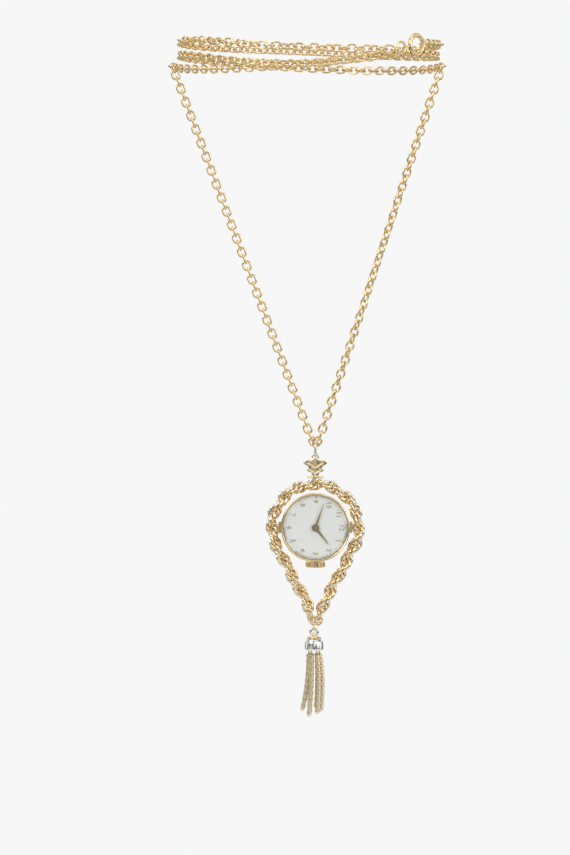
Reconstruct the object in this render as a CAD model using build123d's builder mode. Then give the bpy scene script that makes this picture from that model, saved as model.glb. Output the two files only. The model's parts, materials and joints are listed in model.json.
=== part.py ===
import os
from math import atan2, cos, degrees, hypot, radians, sin, sqrt
from build123d import *

os.makedirs("parts", exist_ok=True)

# Lengths are in mm and angles in degrees. +Z is up and -Y is the front, where the dial looks.
# The origin is the middle of the neck opening, at the height where the two legs of the chain leave the neck.

# Running and seating clearances
running_clearance = 0.03
seat_clearance = 0.01
open_clearance = 0.15
end_shake = 0.05

# Cable chain: every link is an oval ring of round wire, turned about a quarter turn from its neighbour
link_wire = 0.7
link_bend = 1.2
link_straight = 0.8
link_slack = 0.1
link_half_length = link_bend + link_straight / 2
link_reach = link_half_length - (link_wire + link_slack) / 2
link_pitch = 2 * link_reach
wire_centres = link_wire + link_slack
quarter_turn = 90
tilted_turn = 108

# Route of the chain round the neck: half sizes of the oval, and height and outset at each station
neck_half_width = 42.4
neck_half_depth = 37.0
leave_height = -1.7
left_leave_outset = 2.8
right_leave_outset = 1.8
left_side, right_side = 0, 180

# Stations of the strands: angle round the neck from the left side over the back, outset and height
first_back_route = [
    (30, 3.3, -0.8), (60, 4.1, 1.0), (90, 4.4, 3.2), (120, 3.9, 5.0),
    (150, 2.4, 5.9), (180, 1.0, 5.3), (198, 1.7, 4.2),
]
upper_front_route = [
    (250, 0.6, 0.3), (270, 0, 0.5), (290, 0, 1.5), (310, 0, 3.2), (331, 0, 4.8), (360, 0, 5.8),
]
middle_back_route = [(360, 0, 5.8), (405, 0, 6.7), (450, 0, 6.6), (495, 0, 3.9), (540, 0, 1.2)]
lower_front_route = [
    (540, 0, 1.2), (562, 0, 0.8), (592, 0, -0.9), (611, 0, -3.0), (630, 0, -4.5),
    (648, 0, -4.2), (673, 0, -2.1), (695, 0, 0.3), (720, 0, 1.4),
]
last_back_route = [(720, 0, 1.4), (765, 0, 1.9), (810, 0, 1.0), (860, 0.7, -1.0)]

# Roll of the first and last link of each strand about the line of the chain
first_back_rolls = (0, 0)
upper_front_rolls = (0, 54)
middle_back_rolls = (144, 45)
lower_front_rolls = (135, 54)
last_back_rolls = (144, 0)
leg_rolls = (90, 90)

# Spring ring clasp on the upper front strand
clasp_angle = 221
clasp_height = 2.4
clasp_outset = 3.4
clasp_slope_share = 0.2
clasp_ring_bend = 3.125
clasp_tube = 1.45
clasp_bore = 0.95
bolt_wire = 0.8
clasp_gap_span = 46
clasp_gap_start = 22
clasp_slot_width = 0.36
slot_margin = 9
bolt_span = 100
bolt_travel = 60
knob_neck = 0.26
knob_size = 0.8
knob_height = 0.45
eye_bend = 1.15
eye_wire = 0.5
eye_sink = 0.15
joining_bend = 1.9
joining_wire = 0.8
spring_wire = 0.14
spring_coils = 16
coil_steps = 12
spring_bend = 0.32
spring_lead = 8
spring_span = 110
bolt_overlap = 14

# Legs of the chain and the ring that they carry
pendant_x = 2.3
leg_offset = 0.42
end_link_lean = 35
end_link_inset = 0.4
bail_top_height = -126.8
bail_wire = 0.75
bail_bend = 1.6
bail_straight = 1.3
bail_hang = 1.18

# Watch: centre height, depths along the watch axis from the middle plane of the case, dial side positive
watch_height = -155.1
watch_forward = 0.7
bezel_radius = 11.5
bezel_opening = 10.9
bezel_bottom, bezel_top = 0.6, 2.1
bezel_rounding = 0.28
case_radius = 11.3
case_neck_radius = 11.1
case_bore = 10.2
case_top, case_bottom = 0.6, -3.1
case_rounding = 0.5
dial_radius = 10.66
dial_bottom, dial_top = 0.6, 1.0
dial_hole = 1.15
case_neck_height = dial_top - case_top
crystal_radius = 10.86
crystal_edge = 0.75
crystal_edge_top = 1.95
crystal_crown = 4.4
crystal_thickness = 0.7
back_rim_depth = 0.4
back_dome = 0.95
back_thickness = 0.45
back_floor = -3.4
snap_wall = 0.5
snap_height = 0.6
lug_span = 18
lug_bottom, lug_top = -1.3, -0.1
lug_seat = 2.18
dome_share = 0.6

# Rope frame: wire rings threaded through each other in a twist along a drop-shaped line round the watch
rope_circle = 14.5
rope_half_apex = 28.1
rope_touch_half = 2.38
rope_end_half = 1.01
rope_end_drop = 31.8
rope_ring_bend = 1.8
rope_ring_wire = 0.55
rope_ring_step = 1.284
rope_ring_turn = 40
rope_ring_offset = 0.702
rope_ring_lead = 84
rope_taper_wire_share = 0.84

# Leaf between the bail ring and the rope frame
leaf_half_width = 3.9
leaf_height = 6.05
leaf_thickness = 1.3
leaf_loop_bend = 0.95
leaf_loop_wire = 0.6
leaf_foot_half_span = 9.5
leaf_foot_depth = 2.2
leaf_foot_height = 0.7
leaf_outline_shares = [
    (0.35, 1.0), (0.75, 0.835), (0.92, 0.785), (1.0, 0.67), (0.95, 0.52), (0.75, 0.463), (0.64, 0.446),
    (0.66, 0.34), (0.63, 0.174), (0.5, 0.107), (0.33, 0.083), (0.3, 0.025), (0.3, 0.0),
]
leaf_top = -132.0
leaf_foot_seat = 2.055

# Tassel
tassel_x = 1.9
loop_bend = 0.95
loop_wire = 0.6
bead_radius = 0.47
tassel_ring_bend = 1.17
tassel_ring_wire = 0.93
cap_loop_bend = 0.9
cap_loop_wire = 0.5
hang_clearance = 0.04
collar_radius = 2.35
collar_height = 0.8
collar_drop = 0.02
collar_chamfer = 0.25
cap_roof = 0.35
cap_bulge_share = 0.36
loop_drop = 2.0
cap_radius = 3.1
cap_height = 3.6
cap_mouth_radius = 2.85
cap_wall = 0.3
hoop_circle = 1.8
hoop_wire = 0.4
hoop_rise = 1.3
strand_eye_bend = 0.48
strand_eye_wire = 0.3
strand_neck = 0.5
strand_width = 1.66
strand_length = 21.5
strand_start = 2.1
strand_count = 6
hoop_spokes = 3
hoop_spoke = 0.15
spoke_turn = 30
spoke_length = 0.89
strand_turn = 0
# Sideways sway at half length, sideways lean at the foot, and share of the full length
strand_shapes = [
    (0.9, 0.35, 0.93), (0.3, -0.2, 0.9), (-0.35, -0.6, 0.97),
    (-0.5, -2.2, 0.92), (-0.1, -0.9, 1.0), (0.55, 0.1, 0.96),
]

# Movement: radii on the watch face, and layers by depth
movement_radius = 8.75
holder_radius = 10.14
holder_bottom, holder_top = -2.3, 0.58
plate_bottom, plate_top = -1.2, -0.2
bridge_bottom, bridge_top = -3.05, -2.7
cock_bottom, cock_top = -3.15, -2.8
pallet_bridge_bottom, pallet_bridge_top = -2.0, -1.75
low_layer = (-1.45, -1.3)
mid_layer = (-1.9, -1.75)
high_layer = (-2.55, -2.4)
leaf_margin = 0.05
pivot_radius = 0.12
arbor_radius = 0.15
jewel_radius = 0.5
jewel_thickness = 0.25
pillar_radius = 0.55
screw_radius = 0.42
screw_head_height = 0.18
screw_slot = 0.14
gear_arm_width = 0.34
gear_rim_share = 0.82
gear_hub_share = 0.24
tooth_rise_share, tooth_root_share = 0.8, 1.2
tooth_tip_share, tooth_base_share = 0.09, 0.21
barrel_teeth, centre_leaves, barrel_module = 66, 12, 0.115
centre_teeth, third_leaves, centre_module = 72, 9, 0.09
third_teeth, fourth_leaves, third_module = 60, 8, 0.085
fourth_teeth, escape_leaves, fourth_module = 70, 7, 0.075
escape_teeth = 15
escape_radius, escape_root = 1.6, 1.2
cannon_leaves, minute_teeth, cannon_module = 12, 36, 0.1
minute_leaves, hour_teeth, hour_module = 10, 40, 0.096
ratchet_teeth, crown_wheel_teeth, ratchet_module = 45, 32, 0.16
barrel_bottom, barrel_top = -2.6, -1.65
barrel_wall = 0.25
barrel_tooth_height = 0.28
barrel_floor = 0.2
barrel_cover_thickness = 0.18
barrel_drum_radius = 3.6
barrel_arbor_radius = 0.6
mainspring_strip = 0.09
mainspring_turns = 8
ratchet_bottom, ratchet_top = -3.3, -3.1
balance_radius = 2.8
balance_rim = 0.4
balance_bottom, balance_top = -2.3, -2.08
hairspring_bottom, hairspring_top = -2.6, -2.45
hairspring_strip = 0.05
hairspring_inner, hairspring_outer = 0.45, 1.5
hairspring_turns = 6
staff_radius = 0.25
roller_radius = 0.5
fork_width = 0.3
fork_reach = 2.0
fork_mouth = 0.5
pallet_arm = 1.15
stone_length = 0.5
escape_tip_lean = 5
escape_tooth_base = 15
escape_hub_share = 0.35
collet_radius = 0.4
spiral_steps = 24
mainspring_inner = 0.75
arbor_seat = 0.6
crown_wheel_stud = 0.5
minute_stud = 0.2
minute_stud_top = 0.45
bridge_margin = 0.05
arm_half_width = 0.7
barrel_pillars = [(-7.2, 3.6), (-3.9, -7.0), (2.6, -7.5)]
train_pillars = [(6.3, -4.93), (7.06, 3.76)]
cock_pillar = (-3.2, 7.1)
pallet_pillar = (5.4, 5.0)
barrel_bridge_outline = [
    (-9.0, 4.6), (-5.6, 4.6), (-0.95, 1.0), (-0.95, -3.1), (2.95, -3.1), (2.95, -9.0), (-9.0, -9.0),
]
train_bridge_outline = [
    (-0.8, 1.0), (-0.8, -2.95), (3.1, -2.95), (3.1, -9.0), (9.0, -9.0),
    (9.0, 4.8), (6.2, 4.8), (5.6, 2.7), (4.4, 1.0),
]

# Directions of the wheels on the watch face, counted from the right-hand side
barrel_direction = 195
third_direction = -35
fourth_direction = 20
escape_direction = 100
pallet_direction = 150
minute_wheel_direction = -60
pallet_distance = 2.05
staff_distance = 2.85

# Hands, crown and winding work
hand_thickness = 0.14
hour_hand_bottom = 1.2
minute_hand_bottom = 1.56
hour_hand_length, minute_hand_length = 7.2, 8.7
hour_hand_turn, minute_hand_turn = -51.7, 71.0
hour_hand_width, minute_hand_width = 0.7, 0.6
hand_tip_width = 0.12
hour_hub, minute_hub = 1.1, 1.2
hour_pipe_outer, hour_pipe_inner = 0.95, 0.7
cannon_pipe_outer, cannon_pipe_inner = 0.55, 0.33
centre_post = 0.3
stem_depth = -0.7
stem_radius = 0.35
stem_square = 0.44
stem_inner_end = 4.7
crown_radius = 3.25
crown_start, crown_end = 11.55, 13.3
crown_wall = 0.5
crown_flutes = 30
crown_flute = 0.17
tube_radius = 0.8
tube_end = 11.42
clutch_radius = 0.8
clutch_inner, clutch_outer = 5.1, 6.0
winding_radius = 0.8
winding_inner, winding_outer = 6.1, 6.9
winding_teeth = 14
winding_tooth_depth = 0.16
winding_notch = 0.14
square_margin = 0.1
crown_bevel = 0.2
motion_gap = 0.05
cannon_leaf_top = 0.14
minute_layer = (-0.12, 0.05)
minute_leaf_top = 0.45
hour_layer = (0.2, 0.36)
hand_belly_share = 0.3
slot_half_width = 1.1
slot_inner, slot_outer = 4.3, 7.1


def neck_point(angle, outset, height):
    x = -(neck_half_width + outset) * cos(radians(angle))
    y = (neck_half_depth + outset) * sin(radians(angle))
    return Vector(x, y, height)


def neck_tangent(angle):
    return (neck_point(angle + 1, 0, 0) - neck_point(angle - 1, 0, 0)).normalized()


def spread(line, count):
    fine = [line.position_at(k / (40 * count)) for k in range(40 * count + 1)]
    run = [0.0]
    for one, two in zip(fine, fine[1:]):
        run.append(run[-1] + (two - one).length)
    points, k = [], 0
    for i in range(count + 1):
        want = run[-1] * i / count
        while k < len(run) - 2 and run[k + 1] < want:
            k += 1
        part = (want - run[k]) / (run[k + 1] - run[k])
        points.append(fine[k] + (fine[k + 1] - fine[k]) * part)
    return points


def link_places(points, first_roll, last_roll, usual_step):
    count = len(points) - 1
    turns = round((usual_step * (count - 1) - (last_roll - first_roll)) / 180)
    step = (last_roll - first_roll + 180 * turns) / (count - 1)
    places = []
    for i in range(count):
        axis = (points[i + 1] - points[i]).normalized()
        side = axis.cross(Vector(0, 0, 1)).normalized()
        lift = side.cross(axis)
        roll = radians(first_roll + i * step)
        normal = side * cos(roll) - lift * sin(roll)
        places.append(Plane(origin=(points[i] + points[i + 1]) * 0.5, x_dir=axis, z_dir=normal).location)
    return places


def strand_places(line, first_roll, last_roll, usual_step):
    count = round(line.length / link_pitch)
    return link_places(spread(line, count), first_roll, last_roll, usual_step)


def ring_section(face, angle):
    outward = face.x_dir * cos(radians(angle)) + face.y_dir * sin(radians(angle))
    return Plane(origin=face.origin, x_dir=outward, z_dir=outward.cross(face.z_dir))


def turned(radius, angle):
    return (radius * cos(radians(angle)), radius * sin(radians(angle)))


def moved_by(point, radius, angle):
    return (point[0] + radius * cos(radians(angle)), point[1] + radius * sin(radians(angle)))


def tooth_points(teeth, module, tooth_angle):
    radius = teeth * module / 2
    tip = radius + tooth_rise_share * module
    root = radius - tooth_root_share * module
    pitch = 360 / teeth
    points = []
    for k in range(teeth):
        middle = tooth_angle + k * pitch
        points.append(turned(root, middle - tooth_base_share * pitch))
        points.append(turned(tip, middle - tooth_tip_share * pitch))
        points.append(turned(tip, middle + tooth_tip_share * pitch))
        points.append(turned(root, middle + tooth_base_share * pitch))
    return points


# One chain link, lying along X in the XY plane
with BuildPart() as chain_link:
    with BuildLine() as link_line:
        near = Line((-link_straight / 2, -link_bend), (link_straight / 2, -link_bend))
        right_end = ThreePointArc(near @ 1, (link_straight / 2 + link_bend, 0), (link_straight / 2, link_bend))
        far = Line(right_end @ 1, (-link_straight / 2, link_bend))
        ThreePointArc(far @ 1, (-link_straight / 2 - link_bend, 0), near @ 0)
    with BuildSketch(Plane(origin=(0, -link_bend, 0), z_dir=(1, 0, 0))):
        Circle(link_wire / 2)
    sweep()

# Places of the clasp and the joining ring on the upper front strand
clasp_along = neck_tangent(clasp_angle)
clasp_centre = neck_point(clasp_angle, clasp_outset, clasp_height)
clasp_along = Vector(clasp_along.X, clasp_along.Y, -clasp_slope_share).normalized()
clasp_out = clasp_along.cross(Vector(0, 0, 1)).normalized()
clasp_plane = Plane(origin=clasp_centre, x_dir=-clasp_along, z_dir=clasp_out)
catch_distance = clasp_ring_bend - (clasp_tube + wire_centres) / 2 + link_half_length
eye_distance = clasp_ring_bend + clasp_tube / 2 + eye_bend + eye_wire / 2 - eye_sink
joining_distance = eye_distance + eye_bend - (eye_wire + joining_wire) / 2 - running_clearance + joining_bend
carried_distance = joining_distance + joining_bend - joining_wire / 2 - wire_centres / 2 + link_half_length
catch_joint = clasp_centre - clasp_along * (catch_distance + link_reach)
carried_joint = clasp_centre + clasp_along * (carried_distance + link_reach)

# Points where the legs leave the neck: the end wires of the first and last strands, along X
left_leave = neck_point(left_side, left_leave_outset, leave_height)
right_leave = neck_point(right_side, right_leave_outset, leave_height)
left_start = left_leave + Vector(0, link_half_length + link_reach, 0)
right_finish = right_leave + Vector(0, link_half_length + link_reach, 0)

# Chain from the left leg round the back of the neck to the clasp
with BuildLine() as first_back_line:
    Spline(left_start, *[neck_point(*station) for station in first_back_route], catch_joint)
first_back_places = strand_places(first_back_line.edges()[0], *first_back_rolls, quarter_turn)

# Upper strand across the front, from the joining ring to the left side
with BuildLine() as upper_front_line:
    Spline(carried_joint, *[neck_point(*station) for station in upper_front_route])
upper_front_places = strand_places(upper_front_line.edges()[0], *upper_front_rolls, tilted_turn)

# Middle strand round the back, from the left side to the right side
with BuildLine() as middle_back_line:
    Spline(*[neck_point(*station) for station in middle_back_route])
middle_back_places = strand_places(middle_back_line.edges()[0], *middle_back_rolls, quarter_turn)

# Lower strand across the front, from the right side to the left side
with BuildLine() as lower_front_line:
    Spline(*[neck_point(*station) for station in lower_front_route])
lower_front_places = strand_places(lower_front_line.edges()[0], *lower_front_rolls, quarter_turn)

# Last strand round the back, from the left side to the right leg
with BuildLine() as last_back_line:
    Spline(*[neck_point(*station) for station in last_back_route], right_finish)
last_back_places = strand_places(last_back_line.edges()[0], *last_back_rolls, quarter_turn)

# End links under the legs, lying flat so that each leg swings on an end wire
left_end_link = Plane(origin=left_leave + Vector(0, link_half_length, 0), x_dir=(0, 1, 0), z_dir=(0, 0, 1))
right_end_link = Plane(origin=right_leave + Vector(0, link_half_length, 0), x_dir=(0, 1, 0), z_dir=(0, 0, 1))
catch_centre = clasp_centre - clasp_along * catch_distance
carried_centre = clasp_centre + clasp_along * carried_distance
catch_link = Plane(origin=catch_centre, x_dir=clasp_along, z_dir=clasp_plane.y_dir)
carried_link = Plane(origin=carried_centre, x_dir=clasp_along, z_dir=clasp_plane.y_dir)

with BuildPart() as first_back_strand:
    add([chain_link.part.moved(place) for place in first_back_places])
    add([chain_link.part.moved(left_end_link.location), chain_link.part.moved(catch_link.location)])
first_back_strand.part.label = "first_back_strand"
export_step(first_back_strand.part, "parts/first_back_strand.step")

with BuildPart() as upper_front_strand:
    add([chain_link.part.moved(place) for place in upper_front_places])
    add(chain_link.part.moved(carried_link.location))
upper_front_strand.part.label = "upper_front_strand"
export_step(upper_front_strand.part, "parts/upper_front_strand.step")

with BuildPart() as middle_back_strand:
    add([chain_link.part.moved(place) for place in middle_back_places])
middle_back_strand.part.label = "middle_back_strand"
export_step(middle_back_strand.part, "parts/middle_back_strand.step")

with BuildPart() as lower_front_strand:
    add([chain_link.part.moved(place) for place in lower_front_places])
lower_front_strand.part.label = "lower_front_strand"
export_step(lower_front_strand.part, "parts/lower_front_strand.step")

with BuildPart() as last_back_strand:
    add([chain_link.part.moved(place) for place in last_back_places])
    add(chain_link.part.moved(right_end_link.location))
last_back_strand.part.label = "last_back_strand"
export_step(last_back_strand.part, "parts/last_back_strand.step")

# Joining ring between the upper front strand and the eye of the clasp
joining_centre = clasp_centre + clasp_along * joining_distance
with BuildPart() as joining_ring:
    with BuildSketch(Plane(origin=joining_centre, x_dir=clasp_along, z_dir=clasp_plane.y_dir)):
        with Locations((joining_bend, 0)):
            Circle(joining_wire / 2)
    revolve(axis=Axis(joining_centre, clasp_out))
joining_ring.part.label = "joining_ring"
export_step(joining_ring.part, "parts/joining_ring.step")

# Clasp tube: a bored ring with a gap that the bolt closes, a slot for its knob, and the eye at its side
clasp_axis = Axis(clasp_plane.origin, clasp_plane.z_dir)
clasp_gap_end = clasp_gap_start + clasp_gap_span
clasp_section = ring_section(clasp_plane, clasp_gap_end)
bolt_start = clasp_gap_start - bolt_overlap
knob_angle = bolt_start + bolt_span
slot_section = ring_section(clasp_plane, knob_angle - slot_margin)
eye_centre = clasp_centre + clasp_along * eye_distance
with BuildPart() as clasp_ring:
    with BuildSketch(Plane(origin=eye_centre, x_dir=clasp_along, z_dir=clasp_out)):
        with Locations((eye_bend, 0)):
            Circle(eye_wire / 2)
    revolve(axis=Axis(eye_centre, clasp_plane.y_dir))
    with BuildSketch(clasp_section):
        with Locations((clasp_ring_bend, 0)):
            Circle(clasp_tube / 2)
    revolve(axis=clasp_axis, revolution_arc=360 - clasp_gap_span)
    with BuildSketch(clasp_section):
        with Locations((clasp_ring_bend, 0)):
            Circle(clasp_bore / 2)
    revolve(axis=clasp_axis, revolution_arc=360 - clasp_gap_span, mode=Mode.SUBTRACT)
    with BuildSketch(slot_section):
        with Locations((clasp_ring_bend + clasp_tube / 2, 0)):
            Rectangle(clasp_tube, clasp_slot_width)
    revolve(axis=clasp_axis, revolution_arc=bolt_travel + 2 * slot_margin, mode=Mode.SUBTRACT)
clasp_ring.part.label = "clasp_ring"
export_step(clasp_ring.part, "parts/clasp_ring.step")

# Bolt of the clasp: a round wire in the bore that closes the gap, with a knob through the slot
bolt_section = ring_section(clasp_plane, bolt_start)
knob_section = ring_section(clasp_plane, knob_angle)
with BuildPart() as clasp_bolt:
    with BuildSketch(bolt_section):
        with Locations((clasp_ring_bend, 0)):
            Circle(bolt_wire / 2)
    revolve(axis=clasp_axis, revolution_arc=bolt_span)
    knob_root = clasp_centre + knob_section.x_dir * clasp_ring_bend
    knob_reach = clasp_tube / 2 + knob_height
    with BuildSketch(Plane(origin=knob_root, z_dir=knob_section.x_dir)):
        Circle(knob_neck / 2)
    extrude(amount=knob_reach)
    with Locations(knob_root + knob_section.x_dir * (knob_reach + knob_size / 4)):
        Sphere(knob_size / 2)
clasp_bolt.part.label = "clasp_bolt"
export_step(clasp_bolt.part, "parts/clasp_bolt.step")

# Spring of the clasp, coiled in the bore behind the bolt
spring_start = knob_angle + spring_lead
spring_points = []
spring_steps = spring_coils * coil_steps
for k in range(spring_steps + 1):
    along_angle = spring_start + spring_span * k / spring_steps
    coil_angle = radians(360 * k / coil_steps)
    place = ring_section(clasp_plane, along_angle)
    reach = clasp_ring_bend + spring_bend * cos(coil_angle)
    spring_points.append(clasp_centre + place.x_dir * reach + clasp_out * (spring_bend * sin(coil_angle)))
with BuildPart() as clasp_spring:
    with BuildLine() as spring_line:
        Spline(*spring_points)
    with BuildSketch(Plane(origin=spring_line.line @ 0, z_dir=spring_line.line % 0)):
        Circle(spring_wire / 2)
    sweep(is_frenet=True)
clasp_spring.part.label = "clasp_spring"
export_step(clasp_spring.part, "parts/clasp_spring.step")

# Legs of the chain, from the end wires at the neck to the end links on the bail ring
bail_x = pendant_x
pivot_height = bail_top_height - bail_hang
end_bend_height = pivot_height + sqrt(link_bend**2 - end_link_inset**2)


def leg_places(leave, side):
    lean = Vector(side * sin(radians(end_link_lean)), 0, -cos(radians(end_link_lean)))
    bend = Vector(bail_x - side * end_link_inset, -side * leg_offset, end_bend_height)
    end_centre = bend - lean * (link_straight / 2)
    last_joint = end_centre - lean * link_reach
    down = (last_joint - leave).normalized()
    first_joint = leave - down * (wire_centres / 2)
    run = (last_joint - first_joint).length
    count = round(run / link_pitch)
    points = [first_joint + down * (run * i / count) for i in range(count + 1)]
    places = link_places(points, *leg_rolls, quarter_turn)
    places.append(Plane(origin=end_centre, x_dir=lean, z_dir=(0, -1, 0)).location)
    return places


with BuildPart() as left_leg:
    add([chain_link.part.moved(place) for place in leg_places(left_leave, 1)])
left_leg.part.label = "left_leg"
export_step(left_leg.part, "parts/left_leg.step")

with BuildPart() as right_leg:
    add([chain_link.part.moved(place) for place in leg_places(right_leave, -1)])
right_leg.part.label = "right_leg"
export_step(right_leg.part, "parts/right_leg.step")

# Bail ring: an upright oval ring through both end links
bail_centre = bail_top_height - bail_bend - bail_straight / 2
with BuildPart() as bail_ring:
    with BuildLine(Plane(origin=(bail_x, 0, bail_centre), x_dir=(0, 1, 0), z_dir=(1, 0, 0))) as bail_line:
        side_one = Line((bail_bend, -bail_straight / 2), (bail_bend, bail_straight / 2))
        bend_top = (0, bail_straight / 2 + bail_bend)
        top_bend = ThreePointArc(side_one @ 1, bend_top, (-bail_bend, bail_straight / 2))
        side_two = Line(top_bend @ 1, (-bail_bend, -bail_straight / 2))
        ThreePointArc(side_two @ 1, (0, -bail_straight / 2 - bail_bend), side_one @ 0)
    with BuildSketch(Plane(origin=(bail_x, bail_bend, bail_centre - bail_straight / 2), z_dir=(0, 0, 1))):
        Circle(bail_wire / 2)
    sweep()
bail_ring.part.label = "bail_ring"
export_step(bail_ring.part, "parts/bail_ring.step")


# Drop-shaped line of the rope frame, from its top down one side
watch_face = Plane(origin=(pendant_x, -watch_forward, watch_height), x_dir=(1, 0, 0), z_dir=(0, -1, 0))
arc_run = rope_circle * radians(90 + rope_half_apex)
arc_end = turned(rope_circle, -rope_half_apex)
line_run = (arc_end[0] - rope_touch_half) / sin(radians(rope_half_apex))
line_end = moved_by(arc_end, line_run, -90 - rope_half_apex)
taper_lean = degrees(atan2(rope_touch_half - rope_end_half, rope_end_drop + line_end[1]))
taper_run = hypot(rope_touch_half - rope_end_half, rope_end_drop + line_end[1])


def rope_station(run):
    if run < arc_run:
        angle = 90 - degrees(run / rope_circle)
        return turned(rope_circle, angle), angle - 90, 1
    if run < arc_run + line_run:
        return moved_by(arc_end, run - arc_run, -90 - rope_half_apex), -90 - rope_half_apex, 1
    place = moved_by(line_end, run - arc_run - line_run, -90 - taper_lean)
    return place, -90 - taper_lean, place[0] / rope_touch_half


# Rope frame: rings threaded through each other, each turned on from the one before
rope_rings = []
for side in (1, -1):
    run, number = 0, 0
    while run <= arc_run + line_run + taper_run:
        place, heading, size = rope_station(run)
        if side > 0 or number > 0:
            spot = Vector(pendant_x + side * place[0], 0, watch_height + place[1])
            axis = Vector(cos(radians(heading)), 0, side * sin(radians(heading)))
            inward = Vector(0, 1, 0).cross(axis)
            turn = radians(side * number * rope_ring_turn)
            lead = turn + radians(rope_ring_lead)
            across = inward * cos(turn) + Vector(0, 1, 0) * sin(turn)
            shift = inward * cos(lead) + Vector(0, 1, 0) * sin(lead)
            middle = spot + shift * (rope_ring_offset * size)
            face = Plane(origin=middle, x_dir=axis, z_dir=axis.cross(across))
            rope_rings.append((face.location, size))
        number += 1
        run += rope_ring_step * size
with BuildPart() as rope_ring:
    Torus(rope_ring_bend, rope_ring_wire / 2)
with BuildPart() as rope_frame:
    add([rope_ring.part.moved(place) for place, size in rope_rings if size == 1])
    for place, size in rope_rings:
        if size < 1:
            with Locations(place):
                Torus(rope_ring_bend * size, rope_ring_wire * rope_taper_wire_share * size / 2)
rope_frame.part.label = "rope_frame"
export_step(rope_frame.part, "parts/rope_frame.step")

# Leaf, with a loop at its stalk for the bail ring and a curved foot on top of the rope
leaf_bottom = leaf_top - leaf_height
leaf_face = Plane(origin=(pendant_x, leaf_thickness / 2, leaf_bottom), x_dir=(1, 0, 0), z_dir=(0, -1, 0))
leaf_side = [(leaf_half_width * x, leaf_height * y) for x, y in leaf_outline_shares]
bail_foot = bail_centre - bail_straight / 2 - bail_bend
leaf_loop_top = bail_foot + (bail_wire + leaf_loop_wire) / 2 + hang_clearance
leaf_loop_centre = leaf_loop_top - leaf_loop_bend
foot_inner = rope_circle + leaf_foot_seat
foot_outer = foot_inner + leaf_foot_height
foot_centre = (pendant_x, leaf_foot_depth / 2, watch_height)
foot_face = Plane(origin=foot_centre, x_dir=(1, 0, 0), z_dir=(0, -1, 0))
with BuildPart() as leaf_charm:
    with BuildSketch(leaf_face):
        with BuildLine():
            right_edge = Spline(*leaf_side)
            left_edge = Spline(*[(-x, y) for x, y in leaf_side])
            Line(right_edge @ 0, left_edge @ 0)
            Line(right_edge @ 1, left_edge @ 1)
        make_face()
    extrude(amount=leaf_thickness)
    with Locations((pendant_x, 0, leaf_loop_centre)):
        Torus(leaf_loop_bend, leaf_loop_wire / 2, rotation=(90, 0, 0))
    with BuildSketch(foot_face):
        with BuildLine():
            outer_foot = CenterArc((0, 0), foot_outer, 90 - leaf_foot_half_span, 2 * leaf_foot_half_span)
            inner_foot = CenterArc((0, 0), foot_inner, 90 - leaf_foot_half_span, 2 * leaf_foot_half_span)
            Line(outer_foot @ 0, inner_foot @ 0)
            Line(outer_foot @ 1, inner_foot @ 1)
        make_face()
    extrude(amount=leaf_foot_depth)
leaf_charm.part.label = "leaf_charm"
export_step(leaf_charm.part, "parts/leaf_charm.step")

# Loop under the rope frame, soldered to the rope ends with a bead
tassel_ring_top = watch_height - rope_end_drop - loop_drop
loop_centre = tassel_ring_top - (tassel_ring_wire + loop_wire) / 2 - hang_clearance + loop_bend
with BuildPart() as frame_loop:
    with Locations((tassel_x, 0, loop_centre)):
        Torus(loop_bend, loop_wire / 2, rotation=(0, 90, 0))
    with Locations((tassel_x, 0, loop_centre + loop_bend)):
        Sphere(bead_radius)
frame_loop.part.label = "frame_loop"
export_step(frame_loop.part, "parts/frame_loop.step")

# Tassel ring
with BuildPart() as tassel_ring:
    with Locations((tassel_x, 0, tassel_ring_top - tassel_ring_bend)):
        Torus(tassel_ring_bend, tassel_ring_wire / 2, rotation=(90, 0, 0))
tassel_ring.part.label = "tassel_ring"
export_step(tassel_ring.part, "parts/tassel_ring.step")

# Tassel cap: loop, collar and hollow dome, open below
ring_foot = tassel_ring_top - 2 * tassel_ring_bend
cap_loop_top = ring_foot + (tassel_ring_wire + cap_loop_wire) / 2 + hang_clearance
cap_loop_centre = cap_loop_top - cap_loop_bend
collar_top = ring_foot - tassel_ring_wire / 2 - hang_clearance - collar_drop
cap_top = collar_top - collar_height
cap_bottom = cap_top - cap_height
inner_mouth = cap_mouth_radius - cap_wall
with BuildPart() as tassel_cap:
    with BuildSketch(Plane(origin=(tassel_x, 0, 0), x_dir=(1, 0, 0), z_dir=(0, -1, 0))):
        with BuildLine():
            lip = Line((inner_mouth, cap_bottom), (cap_mouth_radius, cap_bottom))
            rim = Spline(
                lip @ 1,
                (cap_radius, cap_bottom + cap_bulge_share * cap_height),
                (collar_radius, cap_top),
                tangents=((1, 1), (-1, 1)),
            )
            neck = Line(rim @ 1, (collar_radius, collar_top - collar_chamfer))
            bevel = Line(neck @ 1, (collar_radius - collar_chamfer, collar_top))
            roof = Line(bevel @ 1, (0, collar_top))
            middle = Line(roof @ 1, (0, cap_top - cap_roof))
            ceiling = Line(middle @ 1, (collar_radius - cap_wall, cap_top - cap_roof))
            Spline(ceiling @ 1, (cap_radius - cap_wall, cap_bottom + cap_bulge_share * cap_height), lip @ 0,
                   tangents=((1, -1), (-1, -1)))
        make_face()
    revolve(axis=Axis((tassel_x, 0, 0), (0, 0, 1)))
    with Locations((tassel_x, 0, cap_loop_centre)):
        Torus(cap_loop_bend, cap_loop_wire / 2, rotation=(0, 90, 0))
tassel_cap.part.label = "tassel_cap"
export_step(tassel_cap.part, "parts/tassel_cap.step")

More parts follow.
